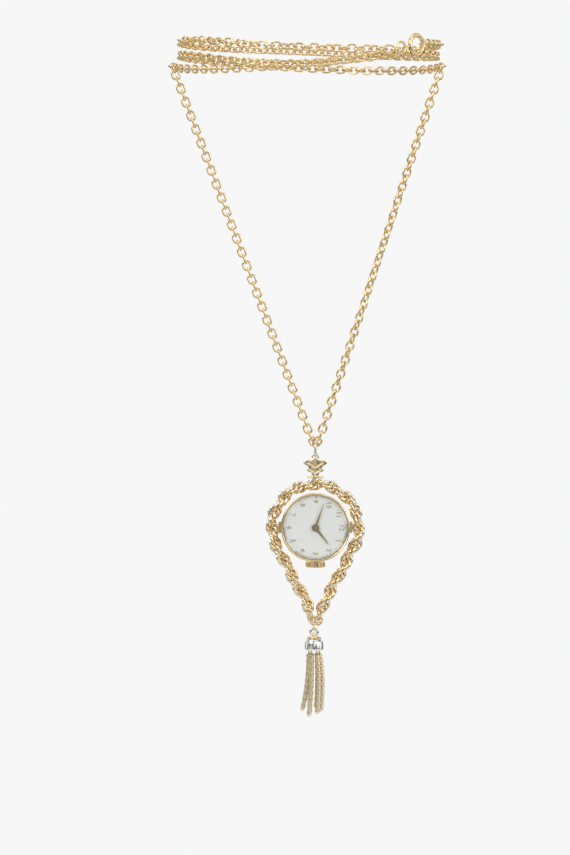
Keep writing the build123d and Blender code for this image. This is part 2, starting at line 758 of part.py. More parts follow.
# Hoop inside the cap that the strands hang on, held by short spokes
hoop_height = cap_bottom + hoop_rise
with BuildPart() as tassel_hoop:
    with Locations((tassel_x, 0, hoop_height)):
        Torus(hoop_circle, hoop_wire / 2)
        with PolarLocations((hoop_circle + hoop_wire / 4), hoop_spokes, start_angle=spoke_turn):
            Cylinder(
                hoop_spoke, spoke_length, rotation=(0, 90, 0),
                align=(Align.CENTER, Align.CENTER, Align.MIN),
            )
tassel_hoop.part.label = "tassel_hoop"
export_step(tassel_hoop.part, "parts/tassel_hoop.step")

# Strands: each has an eye on the hoop, a neck, and a woven length that hangs in a slight curve
for number in range(strand_count):
    angle = strand_turn + 360 / strand_count * number
    out = Vector(cos(radians(angle)), sin(radians(angle)), 0)
    root = Vector(tassel_x, 0, hoop_height) + out * hoop_circle
    eye_middle = root - Vector(0, 0, strand_eye_bend - (hoop_wire + strand_eye_wire) / 2 - open_clearance / 2)
    neck_top = eye_middle - Vector(0, 0, strand_eye_bend)
    body_top = root - Vector(0, 0, strand_start)
    sway, lean, length_share = strand_shapes[number]
    waist = body_top + Vector(sway, 0, -strand_length * length_share / 2)
    foot = body_top + Vector(lean, 0, -strand_length * length_share)
    with BuildPart() as strand:
        with Locations(Plane(origin=eye_middle, x_dir=out, z_dir=out.cross(Vector(0, 0, 1)))):
            Torus(strand_eye_bend, strand_eye_wire / 2)
        with BuildLine() as strand_line:
            Spline(body_top, waist, foot, tangents=(Vector(0, 0, -1), foot - waist))
        with BuildSketch(Plane(origin=body_top, z_dir=(0, 0, -1))):
            Circle(strand_width / 2)
        sweep()
        with Locations(foot):
            Sphere(strand_width / 2)
        with BuildSketch(Plane(origin=neck_top + Vector(0, 0, strand_eye_wire / 4), z_dir=(0, 0, -1))):
            Circle(strand_neck / 2)
        extrude(amount=neck_top.Z - body_top.Z + strand_eye_wire)
    name = "strand_" + str(number + 1)
    strand.part.label = name
    export_step(strand.part, "parts/" + name + ".step")


def face_at(depth):
    return watch_face.offset(depth)


# Case middle: a ring with a neck for the bezel, a bore for the stem and a short tube under the crown
stem_line = Plane(origin=watch_face.from_local_coords((0, 0, stem_depth)), x_dir=(1, 0, 0), z_dir=(0, 0, -1))


def stem_plane(run):
    return stem_line.offset(run)


with BuildPart() as case_middle:
    with BuildSketch(face_at(case_bottom)):
        Circle(case_radius)
    extrude(amount=case_top - case_bottom)
    chamfer(case_middle.edges().group_by(Axis.Y)[-1], case_rounding)
    with BuildSketch(face_at(case_top)):
        Circle(case_neck_radius)
    extrude(amount=case_neck_height)
    with BuildSketch(stem_line):
        Circle(tube_radius)
    extrude(amount=tube_end)
    with BuildSketch(face_at(case_bottom)):
        Circle(case_bore)
    extrude(amount=case_top - case_bottom, mode=Mode.SUBTRACT)
    with BuildSketch(face_at(case_top)):
        Circle(dial_radius + running_clearance)
    extrude(amount=case_neck_height, mode=Mode.SUBTRACT)
    with BuildSketch(stem_line):
        Circle(stem_radius + running_clearance)
    extrude(amount=tube_end, mode=Mode.SUBTRACT)
case_middle.part.label = "case_middle"
export_step(case_middle.part, "parts/case_middle.step")

# Bezel: a rounded ring over the neck of the case
with BuildPart() as bezel:
    with BuildSketch(face_at(bezel_bottom)):
        Circle(bezel_radius)
    extrude(amount=bezel_top - bezel_bottom)
    with BuildSketch(face_at(bezel_bottom)):
        Circle(bezel_opening)
    extrude(amount=bezel_top - bezel_bottom, mode=Mode.SUBTRACT)
    fillet(bezel.edges().group_by(Axis.Y)[0], bezel_rounding)
    with BuildSketch(face_at(bezel_bottom)):
        Circle(case_neck_radius + seat_clearance)
    extrude(amount=case_neck_height + seat_clearance, mode=Mode.SUBTRACT)
bezel.part.label = "bezel"
export_step(bezel.part, "parts/bezel.step")

# Crystal: a high dome with a straight edge inside the bezel, standing on the rim of the dial
def dome_point(radius, edge, rise):
    ball = (radius**2 + rise**2) / (2 * rise)
    return (radius * dome_share, edge + rise - ball + sqrt(ball**2 - (radius * dome_share) ** 2))


crystal_rise = crystal_crown - crystal_edge_top
crystal_inside = crystal_radius - crystal_edge
crystal_inner_edge = crystal_edge_top - crystal_thickness
with BuildPart() as crystal:
    with BuildSketch(Plane(origin=watch_face.origin, x_dir=(1, 0, 0), z_dir=(0, 0, -1))):
        with BuildLine():
            outer_side = Line((crystal_radius, dial_top), (crystal_radius, crystal_edge_top))
            outer_middle = dome_point(crystal_radius, crystal_edge_top, crystal_rise)
            outer_dome = ThreePointArc(outer_side @ 1, outer_middle, (0, crystal_crown))
            centre_line = Line(outer_dome @ 1, (0, crystal_crown - crystal_thickness))
            inner_middle = dome_point(crystal_inside, crystal_inner_edge, crystal_rise)
            inner_dome = ThreePointArc(centre_line @ 1, inner_middle, (crystal_inside, crystal_inner_edge))
            inner_side = Line(inner_dome @ 1, (crystal_inside, dial_top))
            Line(inner_side @ 1, outer_side @ 0)
        make_face()
    revolve(axis=Axis(watch_face.origin, watch_face.z_dir))
crystal.part.label = "crystal"
export_step(crystal.part, "parts/crystal.step")

# Dial
with BuildPart() as dial:
    with BuildSketch(face_at(dial_bottom)):
        Circle(dial_radius)
        Circle(dial_hole, mode=Mode.SUBTRACT)
    extrude(amount=dial_top - dial_bottom)
dial.part.label = "dial"
export_step(dial.part, "parts/dial.step")

# Case back: a shallow dome with a snap wall that slides into the case
back_start, rim_end = -case_bottom, back_rim_depth - case_bottom
back_inside = case_bore - snap_wall - seat_clearance
inner_rise = rim_end + back_dome - back_thickness + back_floor
with BuildPart() as case_back:
    with BuildSketch(Plane(origin=watch_face.origin, x_dir=(1, 0, 0), z_dir=(0, 0, 1))):
        with BuildLine():
            rim_side = Line((case_radius, back_start), (case_radius, rim_end))
            back_middle = dome_point(case_radius, rim_end, back_dome)
            back_outer = ThreePointArc(rim_side @ 1, back_middle, (0, rim_end + back_dome))
            back_centre = Line(back_outer @ 1, (0, rim_end + back_dome - back_thickness))
            floor_middle = dome_point(back_inside, -back_floor, inner_rise)
            back_inner = ThreePointArc(back_centre @ 1, floor_middle, (back_inside, -back_floor))
            wall_inner = Line(back_inner @ 1, (back_inside, back_start - snap_height))
            wall_end = Line(wall_inner @ 1, (case_bore - seat_clearance, back_start - snap_height))
            wall_outer = Line(wall_end @ 1, (case_bore - seat_clearance, back_start))
            Line(wall_outer @ 1, rim_side @ 0)
        make_face()
    revolve(axis=Axis(watch_face.origin, watch_face.z_dir))
case_back.part.label = "case_back"
export_step(case_back.part, "parts/case_back.step")

# Lugs that join the case to the rope at both sides
with BuildPart() as side_lugs:
    with BuildSketch(face_at(lug_bottom)):
        for lug_side in (0, 180):
            with BuildLine():
                lug_outer = CenterArc((0, 0), rope_circle - lug_seat, lug_side - lug_span / 2, lug_span)
                lug_inner = CenterArc((0, 0), case_radius, lug_side - lug_span / 2, lug_span)
                Line(lug_outer @ 0, lug_inner @ 0)
                Line(lug_outer @ 1, lug_inner @ 1)
            make_face()
    extrude(amount=lug_top - lug_bottom)
side_lugs.part.label = "side_lugs"
export_step(side_lugs.part, "parts/side_lugs.step")

# Movement holder
with BuildPart() as movement_holder:
    with BuildSketch(face_at(holder_bottom)):
        Circle(holder_radius)
        Circle(movement_radius + seat_clearance, mode=Mode.SUBTRACT)
    extrude(amount=holder_top - holder_bottom)
    with BuildSketch(stem_line):
        Circle(stem_radius + open_clearance)
    extrude(amount=holder_radius, mode=Mode.SUBTRACT)
movement_holder.part.label = "movement_holder"
export_step(movement_holder.part, "parts/movement_holder.step")

# Places of the arbors on the watch face
centre_at = (0.0, 0.0)
barrel_distance = (barrel_teeth + centre_leaves) * barrel_module / 2
barrel_at = turned(barrel_distance, barrel_direction)
third_at = turned((centre_teeth + third_leaves) * centre_module / 2, third_direction)
fourth_at = moved_by(third_at, (third_teeth + fourth_leaves) * third_module / 2, fourth_direction)
escape_at = moved_by(fourth_at, (fourth_teeth + escape_leaves) * fourth_module / 2, escape_direction)
pallet_at = moved_by(escape_at, pallet_distance, pallet_direction)
balance_at = moved_by(pallet_at, staff_distance, pallet_direction)
minute_at = turned((cannon_leaves + minute_teeth) * cannon_module / 2, minute_wheel_direction)
winding_distance = (ratchet_teeth + crown_wheel_teeth) * ratchet_module / 2
crown_wheel_at = (0.0, barrel_at[1] - sqrt(winding_distance**2 - barrel_at[0] ** 2))
crown_wheel_direction = degrees(atan2(crown_wheel_at[1] - barrel_at[1], crown_wheel_at[0] - barrel_at[0]))


def rod(place, radius, low, high):
    with BuildPart() as solid_rod:
        with BuildSketch(face_at(low)):
            with Locations(place):
                Circle(radius)
        extrude(amount=high - low)
    return solid_rod.part


def pinion(place, leaves, module, tooth_angle, low, high):
    with BuildPart() as leaf_solid:
        with BuildSketch(face_at(low)):
            with Locations(place):
                Polygon(*tooth_points(leaves, module, tooth_angle), align=None)
        extrude(amount=high - low)
    return leaf_solid.part


def wheel(place, teeth, module, tooth_angle, layer):
    radius = teeth * module / 2
    with BuildPart() as disc:
        with BuildSketch(face_at(layer[0])):
            with Locations(place):
                Polygon(*tooth_points(teeth, module, tooth_angle), align=None)
                Circle(radius * gear_rim_share, mode=Mode.SUBTRACT)
                Circle(radius * gear_hub_share)
                for arm in range(2):
                    Rectangle(2 * radius * gear_rim_share + gear_arm_width, gear_arm_width, rotation=arm * 90)
        extrude(amount=layer[1] - layer[0])
    return disc.part


def gap_angle(direction, teeth):
    return direction + 180 / teeth


train_low, train_high = bridge_top + end_shake, plate_bottom - end_shake
pivot_low, pivot_high = bridge_top - jewel_thickness + end_shake, plate_bottom + jewel_thickness - end_shake


def arbor(place):
    return [rod(place, arbor_radius, train_low, train_high), rod(place, pivot_radius, pivot_low, pivot_high)]


# Train wheels: each has a wheel, a pinion and a pivoted arbor
with BuildPart() as centre_wheel:
    add(wheel(centre_at, centre_teeth, centre_module, third_direction, low_layer))
    add(pinion(centre_at, centre_leaves, barrel_module, gap_angle(barrel_direction, centre_leaves),
               barrel_top - barrel_tooth_height - leaf_margin, barrel_top + leaf_margin))
    add(rod(centre_at, centre_post, train_low, minute_hand_bottom + hand_thickness))
    add(rod(centre_at, pivot_radius, pivot_low, train_low))
centre_wheel.part.label = "centre_wheel"
export_step(centre_wheel.part, "parts/centre_wheel.step")

with BuildPart() as third_wheel:
    add(wheel(third_at, third_teeth, third_module, fourth_direction, high_layer))
    add(pinion(third_at, third_leaves, centre_module, gap_angle(third_direction + 180, third_leaves),
               low_layer[0] - leaf_margin, low_layer[1]))
    add(arbor(third_at))
third_wheel.part.label = "third_wheel"
export_step(third_wheel.part, "parts/third_wheel.step")

with BuildPart() as fourth_wheel:
    add(wheel(fourth_at, fourth_teeth, fourth_module, escape_direction, mid_layer))
    add(pinion(fourth_at, fourth_leaves, third_module, gap_angle(fourth_direction + 180, fourth_leaves),
               high_layer[0] - leaf_margin, high_layer[1] + leaf_margin))
    add(arbor(fourth_at))
fourth_wheel.part.label = "fourth_wheel"
export_step(fourth_wheel.part, "parts/fourth_wheel.step")

escape_points = []
for tooth in range(escape_teeth):
    tooth_start = 360 / escape_teeth * tooth
    escape_points.append(turned(escape_root, tooth_start))
    escape_points.append(turned(escape_radius, tooth_start + escape_tip_lean))
    escape_points.append(turned(escape_root, tooth_start + escape_tooth_base))
with BuildPart() as escape_wheel:
    with BuildSketch(face_at(low_layer[0])):
        with Locations(escape_at):
            Polygon(*escape_points, align=None)
            Circle(escape_root * gear_rim_share, mode=Mode.SUBTRACT)
            Circle(escape_root * escape_hub_share)
            Rectangle(2 * escape_root * gear_rim_share + gear_arm_width, gear_arm_width)
            Rectangle(gear_arm_width, 2 * escape_root * gear_rim_share + gear_arm_width)
    extrude(amount=low_layer[1] - low_layer[0])
    add(pinion(escape_at, escape_leaves, fourth_module, gap_angle(escape_direction + 180, escape_leaves),
               mid_layer[0] - leaf_margin, mid_layer[1] + leaf_margin))
    add(arbor(escape_at))
escape_wheel.part.label = "escape_wheel"
export_step(escape_wheel.part, "parts/escape_wheel.step")

# Pallet fork, between the escape wheel and the balance staff
fork_tip = moved_by(pallet_at, fork_reach, pallet_direction)
with BuildPart() as pallet_fork:
    with BuildSketch(face_at(low_layer[0])):
        with Locations(moved_by(pallet_at, fork_reach / 2, pallet_direction)):
            Rectangle(fork_reach, fork_width, rotation=pallet_direction)
        with Locations(fork_tip):
            Rectangle(fork_width, fork_mouth, rotation=pallet_direction)
        with Locations(pallet_at):
            Circle(fork_width)
            Rectangle(fork_width, 2 * pallet_arm, rotation=pallet_direction)
        for arm_side in (-1, 1):
            arm_end = moved_by(pallet_at, pallet_arm, pallet_direction + arm_side * 90)
            with Locations(moved_by(arm_end, stone_length / 2, pallet_direction + 180)):
                Rectangle(stone_length, fork_width, rotation=pallet_direction)
    extrude(amount=low_layer[1] - low_layer[0])
    add(rod(pallet_at, arbor_radius, pallet_bridge_top + end_shake, train_high))
    add(rod(pallet_at, pivot_radius, pallet_bridge_top - jewel_thickness + end_shake, pivot_high))
pallet_fork.part.label = "pallet_fork"
export_step(pallet_fork.part, "parts/pallet_fork.step")

# Balance: rim, arms, staff and roller
with BuildPart() as balance_wheel:
    with BuildSketch(face_at(balance_bottom)):
        with Locations(balance_at):
            Circle(balance_radius)
            Circle(balance_radius - balance_rim, mode=Mode.SUBTRACT)
            Rectangle(2 * balance_radius - balance_rim, gear_arm_width)
            Circle(roller_radius)
    extrude(amount=balance_top - balance_bottom)
    add(rod(balance_at, staff_radius, cock_top + end_shake, train_high))
    add(rod(balance_at, pivot_radius, cock_top - jewel_thickness + end_shake, pivot_high))
    add(rod(balance_at, roller_radius, low_layer[0], low_layer[1]))
    add(rod(balance_at, collet_radius, hairspring_bottom, hairspring_top))
balance_wheel.part.label = "balance_wheel"
export_step(balance_wheel.part, "parts/balance_wheel.step")


def spiral_strip(place, inner, outer, turns, strip, low, high):
    steps = round(turns * spiral_steps)
    line = [(inner + (outer - inner) * k / steps, 360 * k / spiral_steps) for k in range(steps + 1)]
    with BuildPart() as strip_solid:
        with BuildSketch(face_at(low)):
            with Locations(place):
                inside = [turned(radius - strip / 2, angle) for radius, angle in line]
                outside = [turned(radius + strip / 2, angle) for radius, angle in reversed(line)]
                Polygon(*inside, *outside, align=None)
        extrude(amount=high - low)
    return strip_solid.part


# Hairspring, on the collet of the balance
with BuildPart() as hairspring:
    add(spiral_strip(balance_at, hairspring_inner, hairspring_outer, hairspring_turns, hairspring_strip,
                     hairspring_bottom, hairspring_top))
hairspring.part.label = "hairspring"
export_step(hairspring.part, "parts/hairspring.step")

# Barrel: toothed drum, cover, spring and arbor
drum_hole = barrel_arbor_radius + running_clearance
with BuildPart() as barrel_drum:
    add(pinion(barrel_at, barrel_teeth, barrel_module, barrel_direction + 180,
               barrel_top - barrel_tooth_height, barrel_top))
    add(rod(barrel_at, barrel_drum_radius, barrel_bottom, barrel_top))
    with BuildSketch(face_at(barrel_bottom)):
        with Locations(barrel_at):
            Circle(barrel_drum_radius - barrel_wall)
    extrude(amount=barrel_top - barrel_floor - barrel_bottom, mode=Mode.SUBTRACT)
    with BuildSketch(face_at(barrel_bottom)):
        with Locations(barrel_at):
            Circle(drum_hole)
    extrude(amount=barrel_top - barrel_bottom, mode=Mode.SUBTRACT)
barrel_drum.part.label = "barrel_drum"
export_step(barrel_drum.part, "parts/barrel_drum.step")

with BuildPart() as barrel_cover:
    with BuildSketch(face_at(barrel_bottom)):
        with Locations(barrel_at):
            Circle(barrel_drum_radius - barrel_wall - seat_clearance)
            Circle(drum_hole, mode=Mode.SUBTRACT)
    extrude(amount=barrel_cover_thickness)
barrel_cover.part.label = "barrel_cover"
export_step(barrel_cover.part, "parts/barrel_cover.step")

with BuildPart() as mainspring:
    add(spiral_strip(barrel_at, mainspring_inner, barrel_drum_radius - barrel_wall - mainspring_strip,
                     mainspring_turns, mainspring_strip, barrel_bottom + barrel_cover_thickness + leaf_margin,
                     barrel_top - barrel_floor - leaf_margin))
mainspring.part.label = "mainspring"
export_step(mainspring.part, "parts/mainspring.step")

with BuildPart() as barrel_arbor:
    add(rod(barrel_at, barrel_arbor_radius, ratchet_bottom, plate_bottom + arbor_seat))
barrel_arbor.part.label = "barrel_arbor"
export_step(barrel_arbor.part, "parts/barrel_arbor.step")

with BuildPart() as ratchet_wheel:
    add(pinion(barrel_at, ratchet_teeth, ratchet_module, crown_wheel_direction, ratchet_bottom, ratchet_top))
    with BuildSketch(face_at(ratchet_bottom)):
        with Locations(barrel_at):
            Circle(barrel_arbor_radius + seat_clearance)
    extrude(amount=ratchet_top - ratchet_bottom, mode=Mode.SUBTRACT)
ratchet_wheel.part.label = "ratchet_wheel"
export_step(ratchet_wheel.part, "parts/ratchet_wheel.step")

with BuildPart() as crown_wheel:
    add(pinion(crown_wheel_at, crown_wheel_teeth, ratchet_module,
               gap_angle(crown_wheel_direction + 180, crown_wheel_teeth), ratchet_bottom, ratchet_top))
    with BuildSketch(face_at(ratchet_bottom)):
        with Locations(crown_wheel_at):
            Circle(crown_wheel_stud + running_clearance)
    extrude(amount=ratchet_top - ratchet_bottom, mode=Mode.SUBTRACT)
crown_wheel.part.label = "crown_wheel"
export_step(crown_wheel.part, "parts/crown_wheel.step")

# Main plate, with jewel seats, the slot of the winding work and the stud of the minute wheel
plate_jewel_places = [third_at, fourth_at, escape_at, pallet_at, balance_at]
slot_middle = (0.0, -(slot_inner + slot_outer) / 2)
with BuildPart() as main_plate:
    with BuildSketch(face_at(plate_bottom)):
        Circle(movement_radius)
        with Locations(slot_middle):
            Rectangle(2 * slot_half_width, slot_outer - slot_inner, mode=Mode.SUBTRACT)
        with Locations(*plate_jewel_places):
            Circle(pivot_radius + open_clearance, mode=Mode.SUBTRACT)
        with Locations(centre_at):
            Circle(centre_post + running_clearance, mode=Mode.SUBTRACT)
    extrude(amount=plate_top - plate_bottom)
    with BuildSketch(face_at(plate_bottom)):
        with Locations(*plate_jewel_places):
            Circle(jewel_radius + seat_clearance)
    extrude(amount=jewel_thickness, mode=Mode.SUBTRACT)
    with BuildSketch(face_at(plate_bottom)):
        with Locations(barrel_at):
            Circle(drum_hole)
    extrude(amount=arbor_seat + end_shake, mode=Mode.SUBTRACT)
    with BuildSketch(stem_plane(slot_outer)):
        Circle(stem_radius + running_clearance)
    extrude(amount=movement_radius - slot_outer, mode=Mode.SUBTRACT)
    add(rod(minute_at, minute_stud, plate_top, minute_stud_top))
main_plate.part.label = "main_plate"
export_step(main_plate.part, "parts/main_plate.step")


def bridge_plate(outline, jewels, pillars, low, high):
    with BuildPart() as bridge:
        with BuildSketch(face_at(low)):
            Circle(movement_radius - bridge_margin)
            Polygon(*outline, align=None, mode=Mode.INTERSECT)
            if jewels:
                with Locations(*jewels):
                    Circle(pivot_radius + open_clearance, mode=Mode.SUBTRACT)
        extrude(amount=high - low)
        with BuildSketch(face_at(high)):
            with Locations(*pillars):
                Circle(pillar_radius)
        extrude(amount=plate_bottom - high)
        if jewels:
            with BuildSketch(face_at(high - jewel_thickness)):
                with Locations(*jewels):
                    Circle(jewel_radius + seat_clearance)
            extrude(amount=jewel_thickness, mode=Mode.SUBTRACT)
    return bridge.part


with BuildPart() as barrel_bridge:
    add(bridge_plate(barrel_bridge_outline, [], barrel_pillars, bridge_bottom, bridge_top))
    with BuildSketch(face_at(bridge_bottom)):
        with Locations(barrel_at):
            Circle(drum_hole)
    extrude(amount=bridge_top - bridge_bottom, mode=Mode.SUBTRACT)
    add(rod(crown_wheel_at, crown_wheel_stud, ratchet_bottom, bridge_bottom))
barrel_bridge.part.label = "barrel_bridge"
export_step(barrel_bridge.part, "parts/barrel_bridge.step")

with BuildPart() as train_bridge:
    add(bridge_plate(train_bridge_outline, [centre_at, third_at, fourth_at, escape_at], train_pillars,
                     bridge_bottom, bridge_top))
train_bridge.part.label = "train_bridge"
export_step(train_bridge.part, "parts/train_bridge.step")


def arm_bridge(pillar, jewel, low, high):
    run = hypot(jewel[0] - pillar[0], jewel[1] - pillar[1])
    heading = degrees(atan2(jewel[1] - pillar[1], jewel[0] - pillar[0]))
    with BuildPart() as arm:
        with BuildSketch(face_at(low)):
            with Locations(moved_by(pillar, run / 2, heading)):
                Rectangle(run, 2 * arm_half_width, rotation=heading)
            with Locations(pillar, jewel):
                Circle(arm_half_width)
            with Locations(jewel):
                Circle(pivot_radius + open_clearance, mode=Mode.SUBTRACT)
        extrude(amount=high - low)
        with BuildSketch(face_at(high)):
            with Locations(pillar):
                Circle(pillar_radius)
        extrude(amount=plate_bottom - high)
        with BuildSketch(face_at(high - jewel_thickness)):
            with Locations(jewel):
                Circle(jewel_radius + seat_clearance)
        extrude(amount=jewel_thickness, mode=Mode.SUBTRACT)
    return arm.part


with BuildPart() as balance_cock:
    add(arm_bridge(cock_pillar, balance_at, cock_bottom, cock_top))
balance_cock.part.label = "balance_cock"
export_step(balance_cock.part, "parts/balance_cock.step")

with BuildPart() as pallet_bridge:
    add(arm_bridge(pallet_pillar, pallet_at, pallet_bridge_bottom, pallet_bridge_top))
pallet_bridge.part.label = "pallet_bridge"
export_step(pallet_bridge.part, "parts/pallet_bridge.step")

# Jewels in the plate, the bridges and the cock
jewel_seats = [(place, plate_bottom) for place in plate_jewel_places]
jewel_seats += [(place, bridge_top - jewel_thickness) for place in (centre_at, third_at, fourth_at, escape_at)]
jewel_seats += [(balance_at, cock_top - jewel_thickness), (pallet_at, pallet_bridge_top - jewel_thickness)]
with BuildPart() as jewels:
    for place, low in jewel_seats:
        with BuildSketch(face_at(low)):
            with Locations(place):
                Circle(jewel_radius)
                Circle(pivot_radius + running_clearance, mode=Mode.SUBTRACT)
        extrude(amount=jewel_thickness)
jewels.part.label = "jewels"
export_step(jewels.part, "parts/jewels.step")

# Slotted screws on the pillars of the bridges
with BuildPart() as bridge_screws:
    screw_seats = [(place, bridge_bottom) for place in barrel_pillars + train_pillars]
    for place, low in screw_seats + [(cock_pillar, cock_bottom)]:
        with BuildSketch(face_at(low)):
            with Locations(place):
                Circle(screw_radius)
        extrude(amount=-screw_head_height)
        with BuildSketch(face_at(low - screw_head_height)):
            with Locations(place):
                Rectangle(2 * screw_radius, screw_slot)
        extrude(amount=screw_head_height / 2, mode=Mode.SUBTRACT)
bridge_screws.part.label = "bridge_screws"
export_step(bridge_screws.part, "parts/bridge_screws.step")

# Motion work under the dial: cannon pinion, minute wheel and hour wheel
with BuildPart() as cannon_pinion:
    add(pinion(centre_at, cannon_leaves, cannon_module, minute_wheel_direction,
               plate_top + motion_gap, cannon_leaf_top))
    add(rod(centre_at, cannon_pipe_outer, cannon_leaf_top - leaf_margin, minute_hand_bottom + hand_thickness))
    with BuildSketch(face_at(plate_top)):
        Circle(cannon_pipe_inner)
    extrude(amount=minute_hand_bottom + hand_thickness - plate_top, mode=Mode.SUBTRACT)
cannon_pinion.part.label = "cannon_pinion"
export_step(cannon_pinion.part, "parts/cannon_pinion.step")

with BuildPart() as minute_wheel:
    add(wheel(minute_at, minute_teeth, cannon_module, gap_angle(minute_wheel_direction + 180, minute_teeth),
              minute_layer))
    add(pinion(minute_at, minute_leaves, hour_module, minute_wheel_direction + 180,
               minute_layer[0], minute_leaf_top))
    with BuildSketch(face_at(minute_layer[0])):
        with Locations(minute_at):
            Circle(minute_stud + running_clearance)
    extrude(amount=minute_leaf_top - minute_layer[0], mode=Mode.SUBTRACT)
minute_wheel.part.label = "minute_wheel"
export_step(minute_wheel.part, "parts/minute_wheel.step")

with BuildPart() as hour_wheel:
    add(pinion(centre_at, hour_teeth, hour_module, gap_angle(minute_wheel_direction, hour_teeth), *hour_layer))
    add(rod(centre_at, hour_pipe_outer, hour_layer[0], hour_hand_bottom + hand_thickness))
    with BuildSketch(face_at(hour_layer[0])):
        Circle(hour_pipe_inner)
    extrude(amount=hour_hand_bottom + hand_thickness - hour_layer[0], mode=Mode.SUBTRACT)
hour_wheel.part.label = "hour_wheel"
export_step(hour_wheel.part, "parts/hour_wheel.step")


def hand(turn, length, width, hub, hole, low):
    with BuildPart() as pointer:
        with BuildSketch(face_at(low)):
            with Locations(Rotation(0, 0, turn)):
                Polygon(
                    (0, -width / 2), (length * hand_belly_share, -width / 2), (length, -hand_tip_width / 2),
                    (length, hand_tip_width / 2), (length * hand_belly_share, width / 2), (0, width / 2),
                    align=None,
                )
            Circle(hub)
            Circle(hole, mode=Mode.SUBTRACT)
        extrude(amount=hand_thickness)
    return pointer.part


with BuildPart() as hour_hand:
    add(hand(hour_hand_turn, hour_hand_length, hour_hand_width, hour_hub, hour_pipe_outer + seat_clearance,
             hour_hand_bottom))
hour_hand.part.label = "hour_hand"
export_step(hour_hand.part, "parts/hour_hand.step")

with BuildPart() as minute_hand:
    add(hand(minute_hand_turn, minute_hand_length, minute_hand_width, minute_hub,
             cannon_pipe_outer + seat_clearance, minute_hand_bottom))
minute_hand.part.label = "minute_hand"
export_step(minute_hand.part, "parts/minute_hand.step")

# Winding work on the stem: clutch wheel and winding pinion with teeth on their faces


def face_teeth_wheel(radius, inner, outer, teeth_at):
    with BuildPart() as collar:
        with BuildSketch(stem_plane(inner)):
            Circle(radius)
        extrude(amount=outer - inner)
        with BuildSketch(stem_plane(teeth_at)):
            with PolarLocations(radius, winding_teeth):
                Rectangle(radius, winding_notch)
        extrude(amount=winding_tooth_depth / 2, both=True, mode=Mode.SUBTRACT)
        with BuildSketch(stem_plane(inner)):
            Rectangle(stem_square + 2 * running_clearance, stem_square + 2 * running_clearance)
        extrude(amount=outer - inner, mode=Mode.SUBTRACT)
    return collar.part


with BuildPart() as clutch_wheel:
    add(face_teeth_wheel(clutch_radius, clutch_inner, clutch_outer, clutch_inner))
clutch_wheel.part.label = "clutch_wheel"
export_step(clutch_wheel.part, "parts/clutch_wheel.step")

with BuildPart() as winding_pinion:
    add(face_teeth_wheel(winding_radius, winding_inner, winding_outer, winding_outer))
winding_pinion.part.label = "winding_pinion"
export_step(winding_pinion.part, "parts/winding_pinion.step")

with BuildPart() as winding_stem:
    with BuildSketch(stem_plane(stem_inner_end)):
        Rectangle(stem_square, stem_square)
    extrude(amount=winding_outer + square_margin - stem_inner_end)
    with BuildSketch(stem_plane(winding_outer + square_margin)):
        Circle(stem_radius)
    extrude(amount=crown_end - crown_wall - seat_clearance - winding_outer - square_margin)
winding_stem.part.label = "winding_stem"
export_step(winding_stem.part, "parts/winding_stem.step")

# Crown: a fluted knob on the end of the stem
with BuildPart() as crown:
    with BuildSketch(stem_plane(crown_start)):
        Circle(crown_radius)
        with PolarLocations(crown_radius + crown_flute / 2, crown_flutes):
            Circle(crown_flute, mode=Mode.SUBTRACT)
    extrude(amount=crown_end - crown_start)
    with BuildSketch(stem_plane(crown_start)):
        Circle(stem_radius + seat_clearance)
    extrude(amount=crown_end - crown_wall - crown_start, mode=Mode.SUBTRACT)
    chamfer(crown.faces().sort_by(Axis.Z)[0].outer_wire().edges(), crown_bevel)
crown.part.label = "crown"
export_step(crown.part, "parts/crown.step")
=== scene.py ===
import json
import math
import bmesh
import bpy
from mathutils import Matrix, Vector


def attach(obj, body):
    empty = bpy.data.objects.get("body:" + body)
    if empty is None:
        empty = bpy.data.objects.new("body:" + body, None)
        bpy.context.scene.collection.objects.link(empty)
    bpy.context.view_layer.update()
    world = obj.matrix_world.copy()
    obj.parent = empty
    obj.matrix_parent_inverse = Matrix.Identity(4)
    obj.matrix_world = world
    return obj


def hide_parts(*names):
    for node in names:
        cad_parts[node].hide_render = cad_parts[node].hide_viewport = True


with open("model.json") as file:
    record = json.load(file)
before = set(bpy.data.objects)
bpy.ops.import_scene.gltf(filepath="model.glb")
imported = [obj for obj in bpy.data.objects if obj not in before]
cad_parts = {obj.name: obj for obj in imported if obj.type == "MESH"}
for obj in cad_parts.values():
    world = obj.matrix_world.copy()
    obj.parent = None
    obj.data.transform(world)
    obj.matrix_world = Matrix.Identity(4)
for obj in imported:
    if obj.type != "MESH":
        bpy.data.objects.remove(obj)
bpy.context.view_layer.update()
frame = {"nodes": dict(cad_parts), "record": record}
nodes = frame["nodes"]
print("frame loaded")

# Centre of the watch, on the plane that depths on its face are measured from
watch = {"x": 0.0023, "y": -0.0007, "z": -0.1551}


def addNode(tree, kind, inputs=None, **settings):
    made = tree.nodes.new("ShaderNode" + kind)
    for name, value in settings.items():
        setattr(made, name, value)
    for name, value in (inputs or {}).items():
        made.inputs[name].default_value = value
    return made


def mapRange(tree, value, fromRange, toRange=(0.0, 1.0)):
    made = addNode(tree, "MapRange", {
        "From Min": fromRange[0], "From Max": fromRange[1], "To Min": toRange[0], "To Max": toRange[1]})
    tree.links.new(value, made.inputs["Value"])
    return made.outputs["Result"]


def mixColours(tree, first, second, factor):
    made = addNode(tree, "Mix", data_type="RGBA")
    made.inputs["A"].default_value = (*first, 1.0)
    made.inputs["B"].default_value = (*second, 1.0)
    tree.links.new(factor, made.inputs["Factor"])
    return made.outputs["Result"]


def nodeTree(name):
    material = bpy.data.materials.new(name)
    material.use_nodes = True
    tree = material.node_tree
    return material, tree, tree.nodes["Principled BSDF"]


